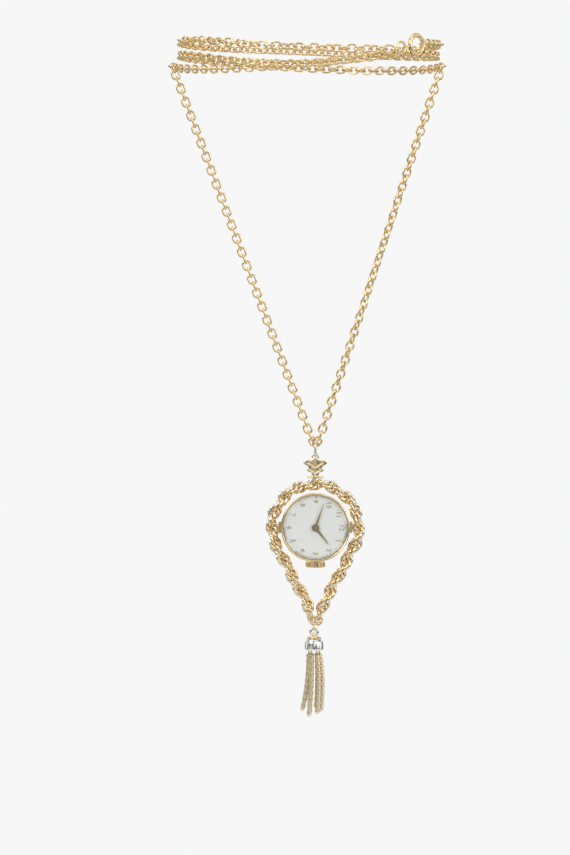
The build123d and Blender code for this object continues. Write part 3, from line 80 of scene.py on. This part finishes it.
# Wear of metal. Noise between the two values of "from" is spread over the whole range, and the noise of the
# roughness is finer than that of the colour.
wearSettings = {"from": (0.3, 0.7), "detail": 3.0, "scale": 260.0, "finer": 2.3, "grain": 0.05}


def noiseFactor(tree, scale, low, high):
    place = addNode(tree, "TexCoord")
    noise = addNode(tree, "TexNoise", {"Scale": scale, "Detail": wearSettings["detail"]})
    tree.links.new(place.outputs["Object"], noise.inputs["Vector"])
    return mapRange(tree, noise.outputs["Fac"], wearSettings["from"], (low, high))


def metal(name, colour, worn, roughness, grain=wearSettings["grain"]):
    material, tree, shader = nodeTree(name)
    shader.inputs["Metallic"].default_value = 1.0
    scale = wearSettings["scale"]
    wear = noiseFactor(tree, scale, 0.0, 1.0)
    tree.links.new(mixColours(tree, colour, worn, wear), shader.inputs["Base Color"])
    rough = noiseFactor(tree, scale * wearSettings["finer"], roughness, roughness + grain)
    tree.links.new(rough, shader.inputs["Roughness"])
    return material


# Cosines of the angle to the outward direction between which the inner gold turns into the pale outer colour,
# a painted highlight
highlightRange = (-0.15, 0.6)


def outwardMetal(name, inner, outer, roughness, centre):
    # Painted highlight: colour runs from the inner gold to a pale outer colour as a face turns away from the
    # centre, seen from the front
    material, tree, shader = nodeTree(name)
    shader.inputs["Metallic"].default_value = 1.0
    shader.inputs["Roughness"].default_value = roughness
    place = addNode(tree, "TexCoord")
    away = addNode(tree, "VectorMath", {1: centre}, operation="SUBTRACT")
    flat = addNode(tree, "VectorMath", {1: (1.0, 0.0, 1.0)}, operation="MULTIPLY")
    unit = addNode(tree, "VectorMath", operation="NORMALIZE")
    facing = addNode(tree, "VectorMath", operation="DOT_PRODUCT")
    tree.links.new(place.outputs["Object"], away.inputs[0])
    tree.links.new(away.outputs["Vector"], flat.inputs[0])
    tree.links.new(flat.outputs["Vector"], unit.inputs[0])
    tree.links.new(unit.outputs["Vector"], facing.inputs[0])
    tree.links.new(place.outputs["Normal"], facing.inputs[1])
    turned = mapRange(tree, facing.outputs["Value"], highlightRange)
    tree.links.new(mixColours(tree, inner, outer, turned), shader.inputs["Base Color"])
    return material


def heightMetal(name, low, high, heights, roughness):
    material, tree, shader = nodeTree(name)
    shader.inputs["Metallic"].default_value = 1.0
    shader.inputs["Roughness"].default_value = roughness
    place = addNode(tree, "TexCoord")
    split = addNode(tree, "SeparateXYZ")
    tree.links.new(place.outputs["Object"], split.inputs["Vector"])
    climb = mapRange(tree, split.outputs["Z"], heights)
    tree.links.new(mixColours(tree, low, high, climb), shader.inputs["Base Color"])
    return material


dialLook = {"roughness": 0.42, "rays": 34.0, "detail": 4.0}


def dialMaterial(name, light, shade):
    # Fine rays that run out from the centre of the dial
    material, tree, shader = nodeTree(name)
    shader.inputs["Metallic"].default_value = 0.0
    shader.inputs["Roughness"].default_value = dialLook["roughness"]
    place = addNode(tree, "TexCoord")
    away = addNode(tree, "VectorMath", {1: (watch["x"], watch["y"], watch["z"])}, operation="SUBTRACT")
    split = addNode(tree, "SeparateXYZ")
    turn = addNode(tree, "Math", operation="ARCTAN2")
    rays = addNode(tree, "TexNoise", noise_dimensions="1D")
    rays.inputs["Scale"].default_value = dialLook["rays"]
    rays.inputs["Detail"].default_value = dialLook["detail"]
    tree.links.new(place.outputs["Object"], away.inputs[0])
    tree.links.new(away.outputs["Vector"], split.inputs["Vector"])
    tree.links.new(split.outputs["Z"], turn.inputs[0])
    tree.links.new(split.outputs["X"], turn.inputs[1])
    tree.links.new(turn.outputs["Value"], rays.inputs["W"])
    tree.links.new(mixColours(tree, light, shade, rays.outputs["Fac"]), shader.inputs["Base Color"])
    return material


glassLook = {"roughness": 0.02, "bending": 1.35}


def glassMaterial(name, tint):
    # Clear glass that bends no light. Its front faces shine as glass of the given bending would.
    # There is no shine from inside or for shadows.
    material, tree, shader = nodeTree(name)
    clear = addNode(tree, "BsdfTransparent", {"Color": (*tint, 1.0)})
    shine = addNode(tree, "BsdfAnisotropic", {"Roughness": glassLook["roughness"]})
    facing = addNode(tree, "Fresnel", {"IOR": glassLook["bending"]})
    path = addNode(tree, "LightPath")
    side = addNode(tree, "NewGeometry")
    hidden = addNode(tree, "Math", operation="MAXIMUM")
    lit = addNode(tree, "Math", operation="SUBTRACT", use_clamp=True)
    pick = addNode(tree, "MixShader")
    tree.links.new(path.outputs["Is Shadow Ray"], hidden.inputs[0])
    tree.links.new(side.outputs["Backfacing"], hidden.inputs[1])
    tree.links.new(facing.outputs["Fac"], lit.inputs[0])
    tree.links.new(hidden.outputs["Value"], lit.inputs[1])
    tree.links.new(lit.outputs["Value"], pick.inputs["Fac"])
    tree.links.new(clear.outputs["BSDF"], pick.inputs[1])
    tree.links.new(shine.outputs["BSDF"], pick.inputs[2])
    tree.links.new(pick.outputs["Shader"], tree.nodes["Material Output"].inputs["Surface"])
    tree.nodes.remove(shader)
    return material


# Heights between which one colour turns into the other: the cap above its gold collar, and the woven strands
shadeHeights = {"cap": (-0.19262, -0.19238), "strand": (-0.214, -0.197)}
ropeMiddle = (watch["x"], 0.0, -0.157)
materials = {
    "chain_gold": metal("chainGold", (0.93, 0.74, 0.42), (0.90, 0.68, 0.36), 0.15),
    "bail_silver": metal("bailSilver", (0.90, 0.88, 0.83), (0.86, 0.81, 0.71), 0.16),
    "leaf_gold": metal("leafGold", (0.93, 0.73, 0.42), (0.92, 0.84, 0.68), 0.17),
    # The rope's gold turns to a pale painted highlight on faces that turn outward
    "rope_gold": outwardMetal("ropeGoldHighlight", (0.91, 0.69, 0.36), (0.93, 0.90, 0.83), 0.15, ropeMiddle),
    "cap_silver": heightMetal("capSilver", (0.92, 0.90, 0.85), (0.92, 0.72, 0.40), shadeHeights["cap"], 0.11),
    "strand_gold": heightMetal("strandGold", (0.93, 0.82, 0.60), (0.93, 0.77, 0.48), shadeHeights["strand"],
                               0.3),
    "case_gold": metal("caseGold", (0.93, 0.74, 0.42), (0.91, 0.70, 0.38), 0.1, grain=0.04),
    "crystal_clear": glassMaterial("crystalClear", (0.99, 0.995, 0.995)),
    "dial_silver": dialMaterial("dialSilver", (0.97, 0.97, 0.95), (0.9, 0.9, 0.87)),
    "hands_gold": metal("handsGold", (0.56, 0.40, 0.16), (0.5, 0.36, 0.15), 0.3),
    "movement_plate": metal("movementPlate", (0.70, 0.62, 0.45), (0.66, 0.58, 0.42), 0.34),
    "movement_brass": metal("movementBrass", (0.80, 0.60, 0.27), (0.76, 0.57, 0.26), 0.22),
    "movement_steel": metal("movementSteel", (0.62, 0.63, 0.65), (0.58, 0.59, 0.61), 0.2),
    "jewel_red": glassMaterial("jewelRed", (0.75, 0.04, 0.12)),
}
slotOf = {part["node"]: part["material_slot"] for part in frame["record"]["subparts"]}
lookOf = {**slotOf, "tassel_ring": "bail_silver"}
for nodeName, obj in nodes.items():
    obj.data.materials.clear()
    obj.data.materials.append(materials[lookOf[nodeName]])
print("materials made")


def meshObject(name, build, material, body, smooth=True):
    mesh = bpy.data.meshes.new(name)
    shape = bmesh.new()
    build(shape)
    bmesh.ops.recalc_face_normals(shape, faces=shape.faces)
    shape.to_mesh(mesh)
    shape.free()
    obj = bpy.data.objects.new(name, mesh)
    bpy.context.scene.collection.objects.link(obj)
    mesh.materials.append(material)
    for face in mesh.polygons:
        face.use_smooth = smooth
    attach(obj, body)
    return obj


def facePoint(u, v, depth):
    return Vector((watch["x"] + u, watch["y"] - depth, watch["z"] + v))


def fullTurn(count):
    return [2 * math.pi * step / count for step in range(count)]


def skin(shape, rings, closed=False):
    count = len(rings[0])
    for i in range(len(rings) if closed else len(rings) - 1):
        one, two = rings[i], rings[(i + 1) % len(rings)]
        for k in range(count):
            following = (k + 1) % count
            shape.faces.new((one[k], two[k], two[following], one[following]))


def capEnds(shape, rings):
    shape.faces.new(rings[0])
    shape.faces.new(list(reversed(rings[-1])))


def wireRing(shape, centre, right, up, size):
    # A closed ring of round wire in the plane of right and up
    normal = right.cross(up)
    rings = []
    for a in fullTurn(size["around"]):
        ray = right * math.cos(a) + up * math.sin(a)
        middle = centre + ray * size["bend"]
        rings.append([shape.verts.new(middle + (ray * math.cos(b) + normal * math.sin(b)) * size["wire"])
                      for b in fullTurn(size["across"])])
    skin(shape, rings, closed=True)


# Dial print: raised numerals that read with twelve to the right, and a track of small dots
dialSettings = {
    "radius": 0.0087, "size": 0.0023, "rise": 0.00007, "depth": 0.001, "bolder": 0.00004,
    "dotRadius": 0.00985, "dot": 0.0001, "hourDot": 0.0002, "dotSides": 10, "hours": 12, "minutes": 60,
}


def numeral(shape, hour):
    s = dialSettings
    curve = bpy.data.curves.new("numeral", "FONT")
    curve.body = str(hour)
    curve.size = s["size"]
    curve.align_x = "CENTER"
    curve.align_y = "CENTER"
    curve.extrude = s["rise"]
    curve.offset = s["bolder"]
    holder = bpy.data.objects.new("numeral", curve)
    bpy.context.scene.collection.objects.link(holder)
    bpy.context.view_layer.update()
    flat = holder.to_mesh()
    angle = -math.radians(360 / s["hours"] * hour)
    centre = facePoint(s["radius"] * math.cos(angle), s["radius"] * math.sin(angle), s["depth"])
    # Text runs along local x with its top along local y: its top looks to the right of the dial
    flat.transform(Matrix((
        (0.0, 1.0, 0.0, centre.x),
        (0.0, 0.0, -1.0, centre.y),
        (-1.0, 0.0, 0.0, centre.z),
        (0.0, 0.0, 0.0, 1.0),
    )))
    shape.from_mesh(flat)
    holder.to_mesh_clear()
    bpy.data.objects.remove(holder)
    bpy.data.curves.remove(curve)


def trackDot(shape, minute):
    s = dialSettings
    angle = math.radians(360 / s["minutes"] * minute)
    atHour = minute % (s["minutes"] // s["hours"]) == 0
    radius = s["hourDot"] if atHour else s["dot"]
    middle = s["depth"] + s["rise"] / 2
    centre = facePoint(s["dotRadius"] * math.cos(angle), s["dotRadius"] * math.sin(angle), middle)
    made = bmesh.ops.create_cone(shape, cap_ends=True, segments=s["dotSides"], radius1=radius, radius2=radius,
                                 depth=s["rise"])
    bmesh.ops.rotate(shape, verts=made["verts"], matrix=Matrix.Rotation(math.pi / 2, 3, "X"))
    bmesh.ops.translate(shape, verts=made["verts"], vec=centre)


def dialPrint(shape):
    for hour in range(1, dialSettings["hours"] + 1):
        numeral(shape, hour)
    for minute in range(dialSettings["minutes"]):
        trackDot(shape, minute)


numeralGold = metal("numeralGold", (0.86, 0.76, 0.55), (0.82, 0.71, 0.5), 0.35)
meshObject("dialNumerals", dialPrint, numeralGold, "pendant", smooth=False)
print("dial print made")

# Leaf: lobes that bulge at the front, with grooved veins, a ring for the bail and a foot on the rope.
# The outline and the veins are in shares of the half width and of the height from the leaf's foot.
leafSettings = {
    "x": 0.0023, "top": -0.132, "height": 0.00605, "halfWidth": 0.00395, "thickness": 0.0013,
    "middle": -0.1352,
    "outline": [(0.14, 1.02), (0.2, 0.98), (0.32, 0.93), (0.42, 0.87), (0.55, 0.83), (0.72, 0.85),
                (0.86, 0.88), (0.98, 0.82), (1.0, 0.72), (0.9, 0.63), (0.76, 0.59), (0.66, 0.53),
                (0.66, 0.46), (0.72, 0.38), (0.7, 0.29), (0.58, 0.23), (0.42, 0.21), (0.32, 0.14),
                (0.3, 0.0)],
    "veins": [((0.0, 0.98), (0.0, 0.05)), ((0.0, 0.5), (0.62, 0.74)), ((0.0, 0.18), (0.5, 0.38))],
    "veinWidth": 0.0002, "veinDepth": 0.45, "rim": 0.16, "front": 0.84, "back": 0.5,
    "lobeLow": 0.6, "lobeReach": 0.0026, "columns": 60, "steps": 8,
}
leafRing = {"height": -0.131535, "bend": 0.00095, "wire": 0.0003, "around": 48, "across": 16}
leafFoot = {"inner": 0.016555, "outer": 0.017255, "halfSpan": 9.5, "depth": 0.0011, "thinnest": 0.35,
            "along": 24, "around": 20}


def smoothOutline(points, count):
    line = []
    for i in range(len(points) - 1):
        before = points[max(i - 1, 0)]
        one, two = points[i], points[i + 1]
        after = points[min(i + 2, len(points) - 1)]
        for k in range(count):
            t = k / count
            line.append(tuple(
                0.5 * (2 * one[c] + (two[c] - before[c]) * t
                       + (2 * before[c] - 5 * one[c] + 4 * two[c] - after[c]) * t * t
                       + (3 * one[c] - before[c] - 3 * two[c] + after[c]) * t**3) for c in range(2)))
    line.append(points[-1])
    return line


def leafShare(point):
    return Vector((point[0] * leafSettings["halfWidth"], point[1] * leafSettings["height"]))


def veinDistance(x, height):
    spot = Vector((abs(x), height))
    gaps = []
    for start, end in leafSettings["veins"]:
        one, two = leafShare(start), leafShare(end)
        share = (spot - one).dot(two - one) / (two - one).length_squared
        gaps.append((spot - one.lerp(two, min(1.0, max(0.0, share)))).length)
    return min(gaps)


def leafDepth(side, across, x, height):
    s = leafSettings
    edge = max(0.0, 1 - across * across) ** 0.5
    if side < 0:
        return -s["thickness"] / 2 * (s["rim"] + s["back"] * edge)
    vein = 1 - s["veinDepth"] * math.exp(-((veinDistance(x, height) / s["veinWidth"]) ** 2))
    lobe = s["lobeLow"] + (1 - s["lobeLow"]) * min(1.0, abs(x) / s["lobeReach"])
    return s["thickness"] / 2 * (s["rim"] + s["front"] * edge * lobe * vein)


def leafPlate(shape):
    s = leafSettings
    line = smoothOutline(s["outline"], s["steps"])
    bottom = s["top"] - s["height"]
    count, last = s["columns"], len(line) - 1
    grid = {}
    for side in (1, -1):
        for i, point in enumerate(line):
            reach = leafShare(point)
            for j in range(count + 1):
                across = j / count * 2 - 1
                x = across * reach.x
                depth = leafDepth(side, across, x, reach.y)
                grid[(side, i, j)] = shape.verts.new((s["x"] + x, -depth, bottom + reach.y))
    for side in (1, -1):
        for i in range(last):
            for j in range(count):
                shape.faces.new((grid[(side, i, j)], grid[(side, i, j + 1)],
                                 grid[(side, i + 1, j + 1)], grid[(side, i + 1, j)]))
    for i in range(last):
        for j in (0, count):
            shape.faces.new((grid[(1, i, j)], grid[(1, i + 1, j)], grid[(-1, i + 1, j)], grid[(-1, i, j)]))
    for i in (0, last):
        for j in range(count):
            shape.faces.new((grid[(1, i, j)], grid[(1, i, j + 1)], grid[(-1, i, j + 1)], grid[(-1, i, j)]))


def leafFootBar(shape):
    f = leafFoot
    bands = []
    for i in range(f["along"] + 1):
        a = math.radians(90 + f["halfSpan"] * (2 * i / f["along"] - 1))
        edge = max(f["thinnest"], max(0.0, math.sin(math.pi * i / f["along"])) ** 0.5)
        band = []
        for b in fullTurn(f["around"]):
            radius = (f["inner"] + f["outer"]) / 2 + (f["outer"] - f["inner"]) / 2 * math.cos(b)
            band.append(shape.verts.new((
                leafSettings["x"] + radius * math.cos(a), f["depth"] * edge * math.sin(b),
                watch["z"] + radius * math.sin(a))))
        bands.append(band)
    skin(shape, bands)
    capEnds(shape, bands)


def leafShape(shape):
    leafPlate(shape)
    wireRing(shape, Vector((leafSettings["x"], 0.0, leafRing["height"])), Vector((1.0, 0.0, 0.0)),
             Vector((0.0, 0.0, 1.0)), leafRing)
    leafFootBar(shape)


leafMiddle = (leafSettings["x"], 0.0, leafSettings["middle"])
# The leaf's gold turns to a pale painted highlight on faces that turn away from its middle
leafHighlightLook = outwardMetal("leafHighlightLook", (0.92, 0.72, 0.40), (0.93, 0.89, 0.80), 0.15, leafMiddle)
leaf = meshObject("leafCharm", leafShape, leafHighlightLook, "pendant")
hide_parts("leaf_charm")
print("leaf made")

# Rope frame: rings turned along the same line as in the CAD, of heavier wire, so that each runs into the next
ropeSettings = {
    "circle": 0.0145, "apex": 28.1, "touchHalf": 0.00238, "endHalf": 0.00101, "endDrop": 0.0318,
    "bend": 0.00166, "wire": 0.0005, "step": 0.001284, "turn": 40.0, "offset": 0.00045, "lead": 84.0,
    "endShare": 0.65, "around": 40, "across": 12,
}


def ropeLine():
    # Place, heading and size of each ring, from the top of the frame down its right side
    s = ropeSettings
    apex, lean = math.radians(s["apex"]), math.radians(90 + s["apex"])
    arcRun = s["circle"] * lean
    arcEnd = Vector((math.cos(apex), -math.sin(apex))) * s["circle"]
    lineRun = (arcEnd.x - s["touchHalf"]) / math.sin(apex)
    lineWay = Vector((math.cos(-lean), math.sin(-lean)))
    lineEnd = arcEnd + lineWay * lineRun
    foot = Vector((s["endHalf"], -s["endDrop"]))
    footWay = (foot - lineEnd).normalized()
    stations, run = [], 0.0
    while run <= arcRun + lineRun + (foot - lineEnd).length:
        size = 1.0
        if run < arcRun:
            angle = math.pi / 2 - run / s["circle"]
            place = Vector((math.cos(angle), math.sin(angle))) * s["circle"]
            heading = angle - math.pi / 2
        elif run < arcRun + lineRun:
            place = arcEnd + lineWay * (run - arcRun)
            heading = -lean
        else:
            place = lineEnd + footWay * (run - arcRun - lineRun)
            heading = math.atan2(footWay.y, footWay.x)
            size = max(s["endShare"], place.x / s["touchHalf"])
        stations.append((place, heading, size))
        run += s["step"] * size
    return stations


def ropeShape(shape):
    s = ropeSettings
    forward = Vector((0.0, 1.0, 0.0))
    for side in (1, -1):
        for number, (place, heading, size) in enumerate(ropeLine()):
            if side < 0 and number == 0:
                continue
            axis = Vector((math.cos(heading), 0.0, side * math.sin(heading)))
            inward = forward.cross(axis)
            turn = math.radians(side * number * s["turn"])
            lead = turn + math.radians(s["lead"])
            across = inward * math.cos(turn) + forward * math.sin(turn)
            shift = inward * math.cos(lead) + forward * math.sin(lead)
            spot = Vector((watch["x"] + side * place.x, 0.0, watch["z"] + place.y))
            sized = {**s, "bend": s["bend"] * size, "wire": s["wire"] * size}
            wireRing(shape, spot + shift * (s["offset"] * size), axis, across, sized)


# The rope's material carries a pale painted highlight on its outward faces
ropeObject = meshObject("ropeLook", ropeShape, materials["rope_gold"], "pendant")
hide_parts("rope_frame")
print("rope made")

# Tassel strands: woven tubes with crossing ridges, each on its own eye.
# Each shape is the sway of the middle, the lean of the foot, and the share of the full length.
strandSettings = {
    "x": 0.0019, "hoopHeight": -0.194865, "hoopCircle": 0.0018, "start": 0.0021, "length": 0.0215,
    "width": 0.00166,
    "shapes": [(0.0009, 0.00035, 0.93), (0.0003, -0.0002, 0.9), (-0.00035, -0.0006, 0.97),
               (-0.0005, -0.0022, 0.92), (-0.0001, -0.0009, 1.0), (0.00055, 0.0001, 0.96)],
    "around": 36, "along": 300, "starts": 4, "lead": 0.0021, "valley": 0.86,
    "topSteepness": 30, "footSteepness": 24, "footFrom": 0.96, "thinnest": 0.35,
}
eyeSettings = {"drop": 0.00008, "bend": 0.00048, "wire": 0.00015, "around": 32, "across": 10}
neckSettings = {"radius": 0.00025, "sides": 14, "belowEye": 0.0004, "intoStrand": 0.0001}


def strandPoint(top, waist, foot, t):
    # Passes through the waist half way down
    side = waist - (top + foot) * 0.5
    bow = 4 * t * (1 - t)
    return top.lerp(foot, t) + side * bow


def strandRadius(t, a, run):
    s = strandSettings
    climb = 2 * math.pi * t * run / s["lead"]
    one = abs(math.sin((s["starts"] * a + climb) / 2))
    two = abs(math.sin((s["starts"] * a - climb) / 2))
    weave = max(one, two) ** 2
    ending = ((1 - t) * s["footSteepness"]) ** 0.5 if t > s["footFrom"] else 1.0
    taper = max(s["thinnest"], min(1.0, t * s["topSteepness"], ending))
    return s["width"] / 2 * (s["valley"] + (1 - s["valley"]) * weave) * taper


def strandShape(number):
    s = strandSettings
    angle = 2 * math.pi * number / len(s["shapes"])
    up = Vector((0.0, 0.0, 1.0))
    out = Vector((math.cos(angle), math.sin(angle), 0.0))
    root = Vector((s["x"], 0.0, s["hoopHeight"])) + out * s["hoopCircle"]
    top = root - up * s["start"]
    sway, lean, share = s["shapes"][number]
    waist = top + Vector((sway, 0.0, -s["length"] * share / 2))
    foot = top + Vector((lean, 0.0, -s["length"] * share))
    eye = root - up * eyeSettings["drop"]

    def build(shape):
        run = (foot - top).length
        rings = []
        for i in range(s["along"] + 1):
            t = i / s["along"]
            centre = strandPoint(top, waist, foot, t)
            rays = [(a, Vector((math.cos(a), math.sin(a), 0.0))) for a in fullTurn(s["around"])]
            rings.append([shape.verts.new(centre + ray * strandRadius(t, a, run)) for a, ray in rays])
        skin(shape, rings)
        capEnds(shape, rings)
        wireRing(shape, eye, out, up, eyeSettings)
        neck = neckSettings
        rim = [(root.x + neck["radius"] * math.cos(b), root.y + neck["radius"] * math.sin(b))
               for b in fullTurn(neck["sides"])]
        skin(shape, [[shape.verts.new((x, y, height)) for x, y in rim]
                     for height in (eye.z - neck["belowEye"], top.z - neck["intoStrand"])])

    return build


for number in range(len(strandSettings["shapes"])):
    strand = meshObject("strandLook%d" % (number + 1), strandShape(number), materials["strand_gold"],
                        "tassel_strand_%d" % (number + 1))
    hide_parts("strand_%d" % (number + 1))
print("strands made")

# Solder that joins the case lugs to the rope at both sides
solderSettings = {"radius": 0.0007, "stretch": (0.8, 0.75, 1.7), "out": 0.01235, "depth": -0.0006,
                  "around": 24, "rings": 14}


def solderShape(side):
    s = solderSettings

    def build(shape):
        made = bmesh.ops.create_uvsphere(shape, u_segments=s["around"], v_segments=s["rings"],
                                         radius=s["radius"])
        bmesh.ops.scale(shape, verts=made["verts"], vec=s["stretch"])
        bmesh.ops.translate(shape, verts=made["verts"], vec=facePoint(side * s["out"], 0.0, s["depth"]))

    return build


for side, sideName in ((-1, "Left"), (1, "Right")):
    meshObject("sideSolder" + sideName, solderShape(side), materials["case_gold"], "pendant")
print("solder made")

# Stage: pale floor, soft lights, and a surround with soft bright and dark areas for the polished metal
stageSettings = {
    "floorHalf": 0.3, "floorHeight": -0.335, "floorColour": (0.86, 0.86, 0.86, 1.0), "floorRoughness": 0.9,
    "target": (0.0, 0.0, -0.12),
    "lights": [("keyLeft", (-0.75, -0.75, 0.45), 0.5, 0.6, 3.0),
               ("fillRight", (0.8, -0.6, 0.25), 0.35, 0.7, 1.7), ("top", (0.0, -0.1, 0.8), 0.8, 0.5, 1.0)],
    "bandScale": 1.7, "bandDetail": 1.0, "bandFrom": (0.38, 0.62), "bandTo": (0.22, 1.25),
    "heightFrom": (-0.7, 0.7), "heightTo": (0.55, 1.1), "seen": 0.93,
}


def makeFloor():
    s = stageSettings
    mesh = bpy.data.meshes.new("floor")
    shape = bmesh.new()
    bmesh.ops.create_grid(shape, x_segments=1, y_segments=1, size=s["floorHalf"])
    bmesh.ops.translate(shape, verts=shape.verts, vec=(0.0, 0.0, s["floorHeight"]))
    shape.to_mesh(mesh)
    shape.free()
    floor = bpy.data.objects.new("floor", mesh)
    bpy.context.scene.collection.objects.link(floor)
    look, _, shader = nodeTree("floorLook")
    shader.inputs["Base Color"].default_value = s["floorColour"]
    shader.inputs["Roughness"].default_value = s["floorRoughness"]
    mesh.materials.append(look)


def areaLight(name, place, width, height, power):
    data = bpy.data.lights.new(name, "AREA")
    data.shape = "RECTANGLE"
    data.size = width
    data.size_y = height
    data.energy = power
    lamp = bpy.data.objects.new(name, data)
    lamp.location = place
    aim = Vector(stageSettings["target"]) - Vector(place)
    lamp.rotation_euler = aim.to_track_quat("-Z", "Y").to_euler()
    bpy.context.scene.collection.objects.link(lamp)


def makeWorld():
    s = stageSettings
    world = bpy.data.worlds.new("studio")
    bpy.context.scene.world = world
    world.use_nodes = True
    tree = world.node_tree
    background = tree.nodes["Background"]
    path = addNode(tree, "LightPath")
    place = addNode(tree, "TexCoord")
    split = addNode(tree, "SeparateXYZ")
    bands = addNode(tree, "TexNoise", {"Scale": s["bandScale"], "Detail": s["bandDetail"]})
    level = addNode(tree, "Math", operation="MULTIPLY")
    seen = addNode(tree, "Math", operation="MAXIMUM")
    pick = addNode(tree, "Mix", {"B": s["seen"]}, data_type="FLOAT")
    tree.links.new(place.outputs["Generated"], split.inputs["Vector"])
    tree.links.new(place.outputs["Generated"], bands.inputs["Vector"])
    tree.links.new(mapRange(tree, bands.outputs["Fac"], s["bandFrom"], s["bandTo"]), level.inputs[0])
    tree.links.new(mapRange(tree, split.outputs["Z"], s["heightFrom"], s["heightTo"]), level.inputs[1])
    tree.links.new(path.outputs["Is Camera Ray"], seen.inputs[0])
    tree.links.new(path.outputs["Is Transmission Ray"], seen.inputs[1])
    tree.links.new(seen.outputs["Value"], pick.inputs["Factor"])
    tree.links.new(level.outputs["Value"], pick.inputs["A"])
    tree.links.new(pick.outputs["Result"], background.inputs["Strength"])
    background.inputs["Color"].default_value = (1.0, 1.0, 1.0, 1.0)


makeFloor()
for light in stageSettings["lights"]:
    areaLight(*light)
makeWorld()

cameraSettings = {
    "centre": Vector((-0.00783, 0.0, -0.1218)), "distance": 0.9, "elevation": 2.0, "height": 0.285,
    "sensor": 24.0, "near": 0.01, "far": 20.0,
}


def makeCamera():
    s = cameraSettings
    data = bpy.data.cameras.new("camera")
    data.sensor_fit = "VERTICAL"
    data.sensor_height = s["sensor"]
    data.lens = s["sensor"] * s["distance"] / s["height"]
    data.clip_start = s["near"]
    data.clip_end = s["far"]
    camera = bpy.data.objects.new("camera", data)
    bpy.context.scene.collection.objects.link(camera)
    rise = math.radians(s["elevation"])
    camera.location = s["centre"] + Vector((0.0, -math.cos(rise), math.sin(rise))) * s["distance"]
    camera.rotation_euler = (s["centre"] - camera.location).to_track_quat("-Z", "Y").to_euler()
    bpy.context.scene.camera = camera


makeCamera()
bpy.context.scene.view_settings.view_transform = "Standard"
print("stage made")
